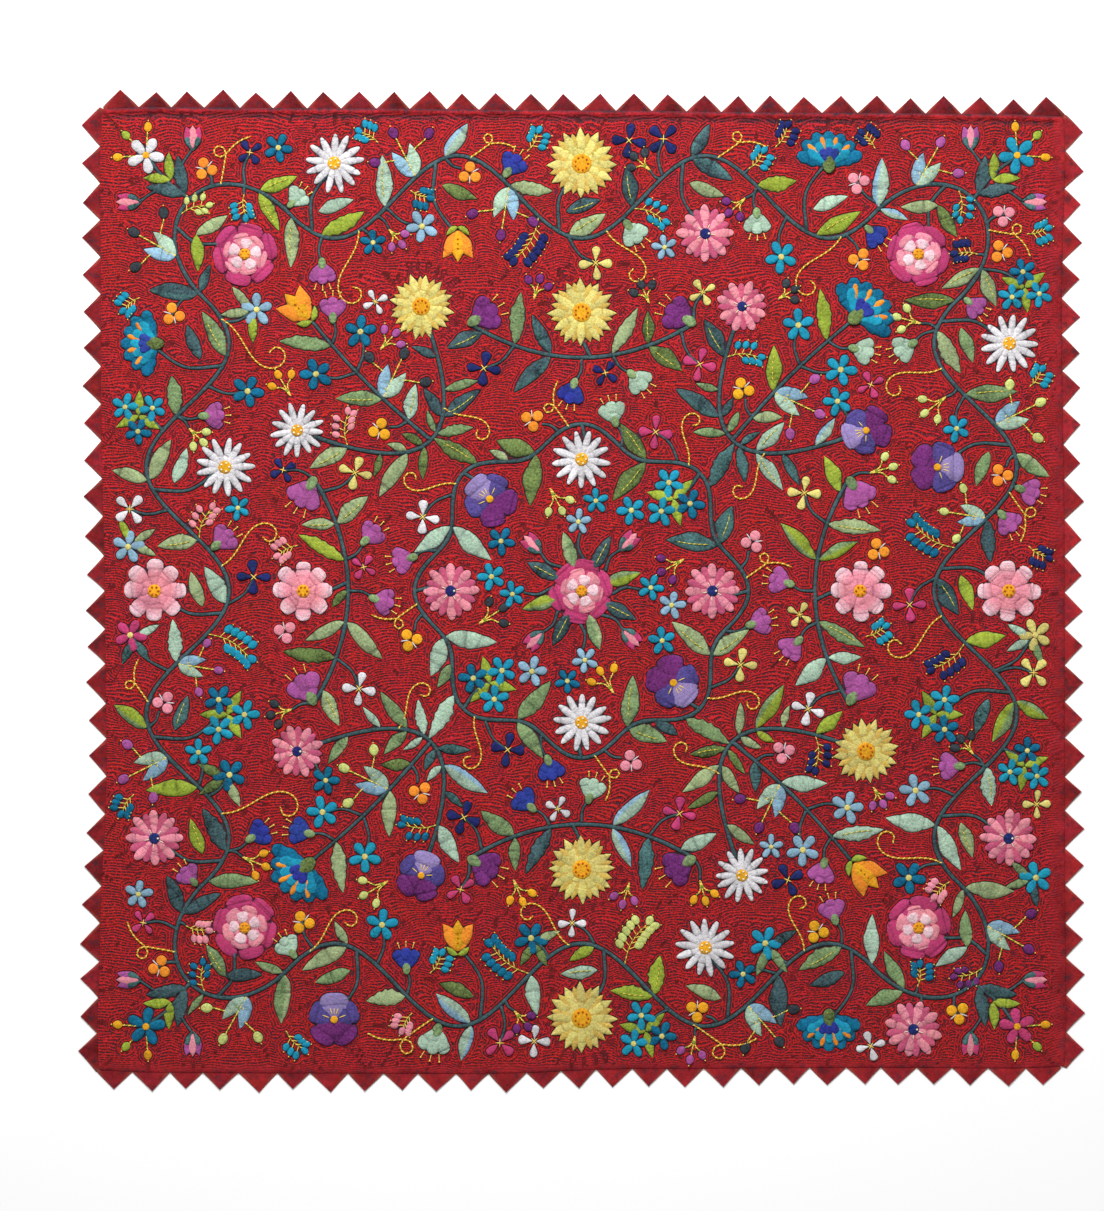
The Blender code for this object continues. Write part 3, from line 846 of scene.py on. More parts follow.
def draw_stalk(start, end, bow, width=STALK_WIDTH):
    """A stalk between two points, bowed to its left by a share of its length."""
    middle = (start + end) / 2 + (end - start).orthogonal() * bow
    strip("stalks", curve_through([start, middle, end], 11), width, 0.0021, 0.15)


def try_leaf(root, angle, length, width, tint, chance, kind, side):
    """A leaf as large as there is room for, or none."""
    for size in (1.0, 0.82, 0.66, 0.52):
        for turn in (0.0, 0.22, -0.22, 0.44):
            way, half = angle + side * turn, width * size * 0.5 + 0.003
            spots = ((0.45, half), (0.75, half), (1.0, 0.004))
            if all(room.space(root + heading(way) * length * size * t) > need for t, need in spots):
                leaf(root, way, length * size, width * size, tint, chance,
                     kind if size > 0.6 else "plain", side * -0.35,
                     size > 0.8 and chance.random() < 0.15)
                return


# Small side shoots: the circles that they need, each as far from the root, turn and radius, and
# the dyes that they take in turn.
SHOOTS = {
    "berries": (((0.026, 0.10, 0.014), (0.048, 0.28, 0.023)), (
        "turquoise", "navy", "teal", "pink", "turquoise", "purple", "teal", "lime_pale")),
    "open": (((0.036, 0.0, 0.022), (0.074, 0.75, 0.011), (0.074, -0.75, 0.011),
              (0.082, 0.0, 0.013)), ("purple", "lime_pale", "charcoal", "orchid")),
    "bud": (((0.054, 0.0, 0.016),), ("hot_pink", "orchid", "violet")),
    "trio": (((0.048, 0.0, 0.023),), ("orange", "gold", "pink")),
    "bell": (((0.060, 0.0, 0.023),), ("orchid", "mint", "orchid", "royal")),
    "blossom": (((0.066, 0.0, 0.030),), ("turquoise", "teal", "turquoise", "ice")),
    "dogwood": (((0.064, 0.0, 0.030),), ("white", "navy", "butter", "hot_pink")),
}
# What is at the end of a stalk: its form, how far past that end it lies, and its size.
AT_STALK = {"bud": (bud, 0.0, 1.15), "bell": (bell, 0.0, 1.0),
            "blossom": (blossom, 0.018, 0.028), "dogwood": (dogwood, 0.016, 0.028)}


def try_shoot(kind, root, angle, chance, number, side):
    """Grows a side shoot where it has room, a little smaller if it must, or none."""
    circles, tints = SHOOTS[kind]
    sizes = (1.5, 1.25, 1.0, 0.84) if kind == "berries" else (1.0, 0.84)
    ways = [(angle + turn, size) for size in sizes for turn in (0, 0.25, -0.25, 0.5, -0.5)]

    def clear(way):
        spots = [(heading(way[0] + side * turn) * reach, radius) for reach, turn, radius in circles]
        return all(room.space(root + spot * way[1]) >= radius * way[1] for spot, radius in spots)

    way, size = next(filter(clear, ways), (None, 0))
    if not size:
        return False
    tint = in_turn(tints, number)
    if kind == "open":
        for turn, pale in ((0.42, "ice"), (-0.42, "mint")):
            leaf(root, way + turn, 0.056 * size, 0.024 * size, pale, chance, bend=-turn * 2.0)
        open_spray(root, way, chance, tint, 0.074 * size, 0.020 * size)
    elif kind == "berries":
        berry_spray(root, way, chance, tint, round(1 + 6 * size**1.3), 0.052 * size, side * 0.4,
                    BERRY * size**0.4)
    else:
        end = root + heading(way) * (circles[0][0] * size - 0.018)
        under = 0.017 if kind in ("blossom", "dogwood") else 0
        draw_stalk(root, end + heading(way) * under, side * 0.12, TWIG)
        if kind == "trio":
            trio(end + heading(way) * 0.017, way, chance, tint)
        else:
            form, beyond, scale = AT_STALK[kind]
            form(end + heading(way) * beyond, way, chance, tint, scale * size)
    return True


KINDS = ("berries", "dogwood", "open", "bell", "blossom", "open", "trio", "open")
LEAF_KINDS = ("plain", "toothed", "parted", "plain")
GREENS = (("slate", "sage"), ("lime", "pale_sage"), ("mint", "teal_green"), ("pale_sage", "moss"),
          ("sage", "mint"))


def dress(line, shares, seed, number, turn, first=1):
    """What grows on a stem: leaves and small shoots on both sides, where there is room. The same
    seed and number give the same growth, and turn changes its dyes from one side of the quilt to
    the next."""
    chance = Random(seed)
    tints = in_turn(GREENS, number + turn)
    for k, share in enumerate(shares):
        point = line(share)
        forward = angle_of(line(share + 0.002) - line(share - 0.002))
        for side in (first, -first):
            root = point + heading(forward + side * math.pi / 2) * STEM_WIDTH * 0.45
            way = forward + side * chance.uniform(0.75, 1.05)
            length, width = chance.uniform(0.064, 0.088), chance.uniform(0.024, 0.031)
            if (k + (side > 0)) % 2 == 0 or k % 4 == 1:
                kind = in_turn(KINDS, 3 * number + k)
                if try_shoot(kind, root, way, Random(f"{kind} {turn}"), number + k + turn, side):
                    continue
            kind = in_turn(LEAF_KINDS, number + k)
            try_leaf(root, way, length, width, tints[k % 2], Random(f"{kind} {turn}"), kind, side)


def try_tendril(root, angle, turns, length, loop):
    """The clearest of several curls, if it has room enough."""

    def curl(way):
        return tendril_path(root, way[0], length, way[1], loop)

    def clear(way):
        return min(room.space(spot) for spot in curl(way)[8:])

    best = max([(angle + turn, hand) for turn in turns for hand in (1, -1)], key=clear)
    if clear(best) > CURL_ROOM:
        stitches(curl(best)[::3])


def border():
    main_stem("border_vine", border_vine, 560, closed=True)
    for number, node in enumerate(BORDER_HEADS):
        side = 1 if number % 2 == 0 else -1
        centre, foot = box_middle(node), border_vine((number - 0.18) / BORDER_COUNT)
        reach = 0.046 if node.endswith("rose") else 0.010
        draw_stalk(foot, centre + (foot - centre).normalized() * reach, 0.16 * side)
        head_for(node, angle_of(border_line(number / BORDER_COUNT)[1] * side), Random(node))


def wreath():
    main_stem("wreath_vine", wreath_line, 210, closed=True)
    for number in range(WREATH_HEADS):
        node = nodes_with(f"wreath_{number}_")[0]
        centre = box_middle(node)
        draw_stalk(wreath_line(number / WREATH_HEADS), centre, 0.1)
        head_for(node, angle_of(centre) + math.pi, Random(node))


def centre_cross():
    chance = Random("centre")
    for k in range(8):
        angle = 0.3 + math.tau * k / 8
        leaf(heading(angle) * 0.042, angle, 0.062, 0.024, ("lime", "slate", "sage", "slate")[k % 4],
             chance, ("parted", "plain")[k % 2], vein=k % 2 == 1)
    for k in range(8):
        angle = 0.3 + math.pi / 8 + math.tau * k / 8
        end = heading(angle + 0.12) * 0.098
        draw_stalk(heading(angle) * 0.052, end, 0.15, THIN_STALK)
        if k % 2:
            tint = ("ice", "turquoise")[k // 2 % 2]
            blossom(heading(angle + 0.14) * 0.117, angle, chance, tint, 0.0225)
        else:
            bud(end, angle + 0.1, chance, "hot_pink", 1.15)
    head("rose", box_middle("centre_rose"), 0.3, chance)


def garlands():
    for number, name in enumerate("nesw"):
        node = nodes_with(f"garland_{name}_")[0]
        chance, facing, line = Random(node), angle_of(COMPASS[name]), garland_line(name)
        main_stem("garland_stems", line, 44)
        draw_stalk(line(0.46), box_middle(node), 0.1)
        head_for(node, facing, chance, 0.96)
        for share, turn in ((0.0, 1.15), (1.0, -1.15)):
            bell(line(share) + heading(facing + turn) * 0.008, facing + turn * 0.9, chance,
                 ("purple", "orchid")[number % 2], 1.3)


def sprays():
    for number, name in enumerate(CORNERS):
        node = nodes_with(f"spray_{name}_")[0]
        chance, facing, line = Random(node), angle_of(COMPASS[name]), spray_line(name)
        main_stem("spray_stems", line, 50)
        main_stem("spray_stems", spray_middle(name), 40, taper=0.2)
        head_for(node, facing, chance, 1.12)
        for end in (0, 1):
            way = angle_of(line(abs(end - 0.001)) - line(abs(end - 0.02)))
            kind = ("pansy", "daisy", "aster", "sunflower")[(number + end * 2) % 4]
            head(kind, line(end) + heading(way) * 0.030, way, chance, 0.92)


def corners():
    """Outside the vine at each corner of the quilt: a blossom between two buds, on leaves."""
    for number in range(4):
        share = (2 * number + 1) / 8
        chance, foot, normal = Random(f"corner {number}"), border_vine(share), border_line(share)[1]
        facing = angle_of(normal)
        draw_stalk(foot, foot + normal * 0.100, 0.06, 0.0056)
        for turn in (0.62, -0.62):
            leaf(foot + normal * 0.012, facing + turn, 0.066, 0.024, "slate", chance, "toothed",
                 -turn * 0.5)
            leaf(foot + normal * 0.046, facing + turn * 1.2, 0.046, 0.018, "lime", chance,
                 bend=-turn * 0.5)
        for turn in (1.05, -1.05):
            root = foot + normal * 0.020
            end = root + heading(facing + turn) * 0.074
            draw_stalk(root, end, -0.14 * turn, 0.0045)
            bud(end, facing + turn * 0.75, chance, ("orchid", "hot_pink")[number % 2], 1.2)
        middle = foot + normal * 0.104
        for turn, tint in ((-0.85, "gold"), (0.0, "lime"), (0.85, "gold")):
            out = heading(facing + turn)
            stitches([middle + out * 0.016, middle + out * 0.040], ("thread", "lime"), 0.0026)
            berry(middle + out * 0.048, facing + turn, tint, chance, 0.017)
        tint = ("turquoise", "hot_pink", "teal", "white")[number]
        blossom(middle, facing, chance, tint, 0.032, "gold")


def curls():
    """Embroidered curls on the stems, where there is room."""
    for number, node in enumerate(BORDER_HEADS):
        chance = Random("tendril " + node)
        outward = angle_of(border_line(number / BORDER_COUNT)[1])
        outward += math.pi if number % 2 == 0 else 0
        root = border_vine((number + chance.choice((0.1, 0.2))) / BORDER_COUNT)
        length = chance.uniform(0.13, 0.21)
        try_tendril(root, outward, (0, 0.5, -0.5, 1.0, -1.0), length, number % 2)
    for number in range(WREATH_HEADS):
        share = (number + 0.1) / WREATH_HEADS
        try_tendril(wreath_line(share), math.tau * share, (0, 0.5, -0.5), 0.14, number % 2 == 0)
    for name in CORNERS:
        for share in (0.30, 0.70):
            out = angle_of(COMPASS[name]) + math.pi + (share - 0.5) * 2
            try_tendril(spray_line(name)(share), out, (0, 0.5, -0.5), 0.14, share > 0.5)


def dress_stems():
    for number, node in enumerate(BORDER_HEADS):
        chance = Random("stalk " + node)
        foot, centre = border_vine((number - 0.18) / BORDER_COUNT), box_middle(node)
        for side in (1, -1):
            try_leaf(foot.lerp(centre, 0.30), angle_of(centre - foot) + side * 0.95, 0.062, 0.023,
                     GREENS[number % 5][side > 0], chance, "plain", side)
    for number in range(BORDER_COUNT):
        shares = [(number + part) / BORDER_COUNT for part in (0.42, 0.66, 0.90)]
        dress(border_vine, shares, f"vine {number % 6}", number % 6, number // 6,
              1 - 2 * (number % 2))
    for number in range(WREATH_HEADS):
        shares = [(number + part) / WREATH_HEADS for part in (0.18, 0.42, 0.66, 0.88)]
        dress(wreath_line, shares, f"wreath {number % 2}", number % 2 + 2, number // 2)
    for number, name in enumerate("nesw"):
        line = garland_line(name)
        dress(line, (0.94, 0.80, 0.64, 0.50), "garland", 0, number)
        dress(lambda share: line(1 - share), (0.94, 0.80, 0.64), "garland back", 3, number)
    for number, name in enumerate(CORNERS):
        line, shares = spray_line(name), (0.90, 0.78, 0.66, 0.56)
        dress(spray_middle(name), (0.82, 0.60, 0.38, 0.18), "middle", 1, number)
        dress(line, shares, "spray", 0, number)
        dress(lambda share: line(1 - share), shares, "spray back", 2, number)


def leave_bare():
    """Keeps a path round the wreath and one inside the border bare."""
    for k in range(360):
        way = heading(math.tau * k / 360)
        room.mark([way * reach for reach in WREATH_PATH])
        square = max(abs(way.x), abs(way.y), 0.83)
        room.mark([way * reach / square for reach in BORDER_PATH])


# What fills a gap, in turn: in wide ones a flower head, in others a small motif in these dyes.
GAP_HEADS = ("daisy", "aster", "cosmos", "pansy", "rose", "daisy", "sunflower", "aster")
GAP_KINDS = ("open", "dogwood", "berries", "bell", "blossom", "open", "trio", "berries")
GAP_DYES = {
    "open": ("purple", "lime_pale", "orchid", "charcoal", "gold"),
    "berries": ("turquoise", "pink", "teal", "navy", "turquoise"),
    "dogwood": ("white", "butter", "navy", "hot_pink"),
    "blossom": ("turquoise", "teal", "ice", "turquoise"),
    "bell": ("orchid", "mint", "orchid", "royal"),
    "trio": ("orange", "gold", "pink", "orange"),
}


def fill_gaps():
    """Fills what is still bare, from the widest place down. The same motif goes in the same
    place of all four quarters, facing off the nearest stem."""
    chance = Random("gaps")
    spots = np.array(STEM_SPOTS)
    number = 0
    while True:
        first, widest = room.widest()
        if widest < GAP_ROOM:
            return
        number += 1
        for quarter in range(4):
            spot = Matrix.Rotation(quarter * math.pi / 2, 2) @ first
            space = min(room.space(spot), widest, 0.075)
            if space > MOTIF_ROOM:
                nearest = Vector(spots[np.hypot(*(spots - np.array(spot[:])).T).argmin()])
                fill_gap(spot, space, angle_of(spot - nearest), nearest, chance, number, quarter)
        room.mark([first])


def fill_gap(spot, space, facing, stem, chance, number, quarter):
    root = spot - heading(facing) * space * 0.62
    kind = in_turn(GAP_KINDS, number)
    tint = in_turn(GAP_DYES[kind], number // {"open": 1, "berries": 4}.get(kind, 8) + quarter)
    if 0.03 < (spot - stem).length < space * 2.4:
        end = spot if space > BLOSSOM_ROOM or kind in ("dogwood", "blossom", "trio") else root
        draw_stalk(stem, end, chance.choice((-0.12, 0.12)), THIN_STALK)
    if space > HEAD_ROOM:
        head(in_turn(GAP_HEADS, number), spot, facing, chance, min(space / 0.056, 1.0))
    elif space > BLUET_ROOM:
        bluets(spot, facing, chance, space / 0.052)
    elif space > BLOSSOM_ROOM:
        greens = in_turn(GREENS, number + quarter)
        for turn in (1.9, -1.9, 2.9):
            way = facing + turn
            leaf(spot + heading(way) * 0.006, way, space * 1.15, space * 0.42, greens[turn > 0],
                 chance)
        tint = in_turn(("turquoise", "ice", "hot_pink", "teal", "butter"), number + quarter)
        blossom(spot + heading(facing) * 0.008, facing, chance, tint, 0.028)
    elif kind == "open":
        open_spray(root, facing, chance, tint, space * 1.30, 0.0165, 0.52)
    elif kind == "berries":
        berry_spray(root, facing - 0.2, chance, tint, 7, space * 1.2, 0.4, BERRY)
    elif kind == "trio":
        trio(spot - heading(facing) * 0.004, facing, chance, tint)
    elif kind == "bell":
        bell(root, facing, chance, tint, space / 0.028)
    else:
        AT_STALK[kind][0](spot, facing, chance, tint, space * 0.88)


for grow in (border, wreath, centre_cross, garlands, sprays, corners, curls, dress_stems,
             leave_bare, fill_gaps):
    grow()


# ---- The quilted ground ----


def outline_finder():
    """A tree of points along every patch outline, close together, and their normals."""
    places, normals = [], []
    for outline, out, closed in OUTLINES:
        if closed:
            outline, out = np.vstack([outline, outline[:1]]), np.vstack([out, out[:1]])
        run = run_of(outline)
        marks = np.arange(0, run[-1], OUTLINE_STEP)
        places.append(pick(marks, run, outline))
        normals.append(pick(marks, run, out))
    places, normals = np.concatenate(places), np.concatenate(normals)
    tree = kdtree.KDTree(len(places))
    for k, (x, y) in enumerate(places.tolist()):
        tree.insert((x, y, 0), k)
    tree.balance()
    return tree, places, normals


def distances(tree, places, normals, flat):
    """How far each place is from the nearest patch, below zero under a patch."""
    spots = flat.reshape(-1, 2)
    found = [tree.find((x, y, 0))[1:] for x, y in spots.tolist()]
    nearest = np.array([index for index, _ in found])
    far = np.array([distance for _, distance in found])
    outward = ((spots - places[nearest]) * normals[nearest]).sum(1)
    return np.where(outward < -0.0002, -far, far).reshape(flat.shape[:-1])


def body_side():
    return 2 * abs(RIMS["top"][:, 1]).max()


def body_marks(rim, cell):
    """Shares across the body: rows for the rim at both ends and even cells between them."""
    side = body_side()
    rim = np.array([row[0] for row in rim]) / side
    cells = round((side - 2 * RIM_REACH) / cell)
    inner = np.linspace(RIM_REACH / side, 1 - RIM_REACH / side, cells)
    return np.concatenate([rim, inner, 1 - rim[::-1]])


def ring_depth(count):
    """How many cells each point of a square grid is from the grid's edge."""
    depth = np.minimum(np.arange(count), np.arange(count)[::-1])
    return np.minimum(depth[:, None], depth[None])


def rounded_corners(a, b, side):
    """Turns the shares near a corner so that it is a little round."""
    reach = CORNER_REACH / side
    p, q = np.minimum(a, 1 - a), np.minimum(b, 1 - b)
    u, v = (1 - p / reach).clip(0, 2), (1 - q / reach).clip(0, 2)
    near = (u > 0) & (v > 0)
    scale = np.where(near, np.maximum(u, v) / np.hypot(u, v).clip(1e-9), 1)
    p, q = (np.where(near, reach * (1 - w * scale), r) for w, r in ((u, p), (v, q)))
    return np.where(a < 0.5, p, 1 - p), np.where(b < 0.5, q, 1 - q)


def make_ground(finder, material):
    """The quilted face and its rolled rim, in four quarters that meet edge to edge."""
    marks, side = body_marks(RIM, GROUND_CELL), body_side()
    a, b = rounded_corners(*np.meshgrid(marks, marks, indexing="ij"), side)
    flat = plan(a, b)
    x, y = flat[..., 0], flat[..., 1]
    far = distances(*finder, flat)
    depth = ring_depth(len(marks))
    rim = np.array([row[1:] for row in RIM])[depth.clip(0, len(RIM) - 1)]
    top = np.clip(0.5 + (np.minimum(a, 1 - a) - (1 - b)) * side / CORNER_BLEND, 0, 1)
    swell = np.sin(140 * x + 3 * np.sin(31 * y)) * np.sin(120 * y + 2 * np.sin(37 * x + 1))
    face = face_height(x, y) - SUNK * np.exp(-((far.clip(0) / SUNK_REACH) ** 2))
    face += PUFF * 0.5 * swell
    height = np.where(depth < len(RIM), rim[..., 0] * top + rim[..., 1] * (1 - top), face)
    insets = {"left": a, "right": 1 - a, "bottom": b, "top": 1 - b}
    fades = [((insets[edge] * side - bare) / reach).clip(0, 1)
             for edge, (bare, reach) in FADES.items()]
    # shade carries the painted shade of the top edge's lip and the painted shadow in the hollow
    # behind it.
    values = {"echo": far / ROW_GAP, "fade": np.minimum.reduce(fades),
              "shade": np.where(depth < len(RIM), rim[..., 2] * top, 0)}
    verts = np.dstack([flat, height])
    normals = np.cross(np.gradient(verts, axis=0), np.gradient(verts, axis=1))
    normals /= np.linalg.norm(normals, axis=-1, keepdims=True)
    half = len(marks) // 2
    halves = (slice(0, half + 1), slice(half, len(marks)))
    for number, part in enumerate((rows, columns) for rows in halves for columns in halves):
        piece = grid_piece(f"quilted_ground_{number + 1}", verts[part], material,
                           {label: numbers[part] for label, numbers in values.items()},
                           normals[part])
        if number == 0:
            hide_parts("quilt_body")


def grid_piece(name, verts, material, values, normals=None):
    index = np.arange(verts.shape[0] * verts.shape[1]).reshape(verts.shape[:2])
    cells = (index[:-1, :-1], index[1:, :-1], index[1:, 1:], index[:-1, 1:])
    faces = np.stack(cells, -1).reshape(-1, 4).tolist()
    return make_piece(name, verts, faces, material, values, normals)


def make_back(finder, material):
    """The plain back of the quilt, turned up inside the rim."""
    marks, side = body_marks(BACK_RIM, BACK_CELL), body_side()
    flat = plan(*rounded_corners(*np.meshgrid(marks, marks, indexing="ij"), side))
    depth = ring_depth(len(marks))
    heights = np.array([height for _, height in BACK_RIM])
    height = np.where(depth < len(heights), heights[depth.clip(0, len(heights) - 1)], 0.0)
    verts = np.dstack([flat, height])[:, ::-1]
    rows = (distances(*finder, flat)[:, ::-1] / ROW_GAP).clip(0.6)  # none behind the patches
    values = {"echo": rows, "fade": (depth[:, ::-1] > 5) * 0.5}
    piece = grid_piece("quilt_back", verts, material, values)


# ---- Prairie points ----


def points_along(edge, height):
    """Plan of the points of a row that lie at one height, in order along it."""
    places = level_points(f"points_{edge}", height)
    return places[places[:, EDGE_AXES[edge][0]].argsort()]


def make_points(edge, material):
    """One row of folded prairie points, each tucked under the rim."""
    along, across, side = EDGE_AXES[edge]
    tips = points_along(edge, TIP_LEVEL)
    outer = []
    for place in points_along(edge, VALLEY_LEVEL):
        if outer and abs(place[along] - outer[-1][along]) < SAME_VALLEY:
            outer[-1] = max(outer[-1], place, key=lambda p: p[across] * side)
        else:
            outer.append(place)
    row = Cloth(f"prairie_{edge}")
    chance = Random("prairie " + edge)
    area = 0.0
    for k, (a, b, tip) in enumerate(zip(outer, outer[1:], tips)):
        area += prairie_point(row, a, b, tip, chance, k % 2, edge)
    reach = np.ptp(tips[:, along]) + 0.06
    piece = row.made(material, "point_cloth", [f"points_{edge}"])


POINT_MARKS = np.array([-0.26, 0.0, 0.12, 0.28, 0.46, 0.64, 0.80, 0.92, 0.985, 1.0])
POINT_ACROSS = np.array([-1.0, -0.93, -0.70, -0.35, 0.0, 0.35, 0.70, 0.93, 1.0])
POINT_RISE = np.array([0.35, 0.82, 0.92, 1.0, 1.0, 1.0, 0.92, 0.82, 0.35])


def prairie_point(row, a, b, tip, chance, over, edge):
    """A square of cloth folded twice into a triangle, thicker along its folds."""
    base, across = (a + b) / 2, POINT_ACROSS
    out = (tip - base) / np.hypot(*(tip - base))
    bow = chance.uniform(-0.012, 0.012)
    swell = chance.uniform(0.5, 1.0)
    crease = chance.choice((-1, 1)) * chance.uniform(0.2, 0.7)
    verts, folds, lights = [], [], []
    for t in POINT_MARKS:
        share = np.clip(1 - t, 0.012, 1)
        half = (b - a) / 2 * share * (1 + bow * math.sin(math.pi * max(t, 0)) * 4)
        ring = base + (tip - base) * t + half * across[:, None] * (1 if t >= 0 else 1 - 0.10)
        line = abs(across - crease * (1 - t)) < 0.3
        thick = POINT_RISE * (POINT_THICK + 0.0006 * swell * share) - CREASE_DEPTH * line
        if t < 0:
            thick = np.minimum(thick, POINT_MOST)
        low = 0.0001 + (POINT_OVERLAP if over and t > 0.05 else 0.0)
        bottom = np.column_stack([ring[[-1, 4, 0]] - out * 0.0004 * (t > 0.9), np.full(3, low)])
        verts.append(np.vstack([np.column_stack([ring, thick + low]), bottom]))
        folds.append(np.concatenate([(abs(across) > 0.9) * 1.0, np.zeros(3)]))
        # Painted shade: each point is darker on one side and towards its base and lighter at its
        # tip, most along the top edge.
        shade = POINT_SHADE[edge] * (0.9 * across * share + 1.2 * (0.4 - t))
        lights.append(np.append(1 - shade, np.ones(3)))
    faces = loft_faces(len(POINT_MARKS), len(across) + 3)
    if np.cross(np.append(b - a, 0), np.append(out, 0))[2] < 0:
        faces = [face[::-1] for face in faces]
    colour = dye("point", POINT_LIFT[edge] * chance.uniform(0.90, 1.08))
    row.put(np.concatenate(verts), faces, colour * np.concatenate(lights).clip(0.2)[:, None],
            np.concatenate(folds))
    return float(np.hypot(*(b - a)) * (0.5 * np.hypot(*(tip - base)) + 0.008))


# ---- Shared effects and materials ----


class Nodes:
    """Adds and joins the nodes of one material or shared effect."""

    def __init__(self, tree):
        self.tree = tree

    def add(self, kind, inputs=None, **settings):
        node = self.tree.nodes.new("ShaderNode" + kind)
        for key, value in settings.items():
            setattr(node, key, value)
        for key, value in (inputs or {}).items():
            self.set(node.inputs[key], value)
        return node

    def set(self, socket, value):
        if isinstance(value, bpy.types.NodeSocket):
            self.tree.links.new(value, socket)
        else:
            socket.default_value = value

    def place(self):
        return self.add("TexCoord").outputs["Object"]

    def attribute(self, name, output="Fac"):
        return self.add("Attribute", attribute_name=name).outputs[output]

    def use(self, tree, **inputs):
        """The first output of a shared effect."""
        return self.add("Group", inputs, node_tree=tree).outputs[0]

    def maths(self, operation, *values, clamp=False):
        inputs = dict(enumerate(values))
        return self.add("Math", inputs, operation=operation, use_clamp=clamp).outputs[0]

    def times(self, first, second):
        return self.maths("MULTIPLY", first, second)

    def scaled(self, value, by, plus, clamp=False):
        return self.maths("MULTIPLY_ADD", value, by, plus, clamp=clamp)

    def ease(self, value, low, high, start=0.0, end=1.0):
        inputs = {"From Min": low, "From Max": high, "To Min": start, "To Max": end, "Value": value}
        return self.add("MapRange", inputs, interpolation_type="SMOOTHSTEP").outputs["Result"]

    def noise(self, where, scale, detail=2.0, roughness=0.5):
        inputs = {"Vector": where, "Scale": scale, "Detail": detail, "Roughness": roughness}
        return self.add("TexNoise", inputs).outputs["Fac"]

    def drift(self, *values):
        """Noise that is above and below zero by turns."""
        return self.maths("SUBTRACT", self.noise(*values), 0.5)

    def mix(self, share, first, second, blend="MIX"):
        node = self.add("Mix", data_type="RGBA", blend_type=blend)
        colours = [socket for socket in node.inputs if socket.type == "RGBA"]
        self.set(node.inputs["Factor"], share)
        self.set(colours[0], first)
        self.set(colours[1], second)
        return next(socket for socket in node.outputs if socket.type == "RGBA")


def shared_effect(name, inputs, outputs):
    """A node group with its inputs and outputs: its tree, and the ends to join."""
    tree = bpy.data.node_groups.new(name, "ShaderNodeTree")
    sockets = [(*each, "INPUT") for each in inputs] + [(*each, None, "OUTPUT") for each in outputs]
    for label, kind, default, way in sockets:
        socket = tree.interface.new_socket(label, in_out=way, socket_type="NodeSocket" + kind)
        if way == "INPUT":
            socket.default_value = default
    start, end = tree.nodes.new("NodeGroupInput"), tree.nodes.new("NodeGroupOutput")
    return tree, Nodes(tree), start.outputs, end.inputs


def hand_dye():
    """Cotton dyed by hand: soft clouds of more and less dye, and a fine speckle of yarns, both
    stronger in dark dyes."""
    inputs = [("Color", "Color", (0.5, 0.5, 0.5, 1)), ("Clouds", "Float", 0.3),
              ("Speckle", "Float", 0.2), ("Drift", "Float", 1.0)]
    tree, nodes, given, result = shared_effect("Hand dye", inputs, [("Color", "Color")])
    where = nodes.place()
    clouds, speckle = nodes.drift(where, 34.0, 3.0), nodes.drift(where, 250.0, 3.0, 0.75)
    value = nodes.add("SeparateColor", {"Color": given["Color"]}, mode="HSV").outputs["Blue"]
    mottling = nodes.scaled(speckle, given["Speckle"], nodes.times(clouds, given["Clouds"]))
    light = nodes.scaled(mottling, nodes.ease(value, 0.08, 0.45, 2.0, 1.0), 1.0)
    drift = nodes.times(nodes.drift(where, 21.0, 1.0), 0.03)
    hue = nodes.scaled(drift, given["Drift"], 0.5)
    shift = nodes.add("HueSaturation", {"Color": given["Color"], "Hue": hue, "Value": light})
    nodes.set(result["Color"], shift.outputs["Color"])
    return tree


def plain_weave():
    """Threads crossing over and under."""
    inputs = [("Size", "Float", 0.0007)]
    tree, nodes, given, result = shared_effect("Plain weave", inputs, [("Height", "Float")])
    waves = {"Vector": nodes.place(), "Scale": nodes.maths("DIVIDE", 0.314, given["Size"]),
             "Distortion": 1.2, "Detail": 1.0}
    over = [nodes.add("TexWave", waves, wave_type="BANDS", bands_direction=axis).outputs["Fac"]
            for axis in "XY"]
    nodes.set(result["Height"], nodes.times(*over))
    return tree


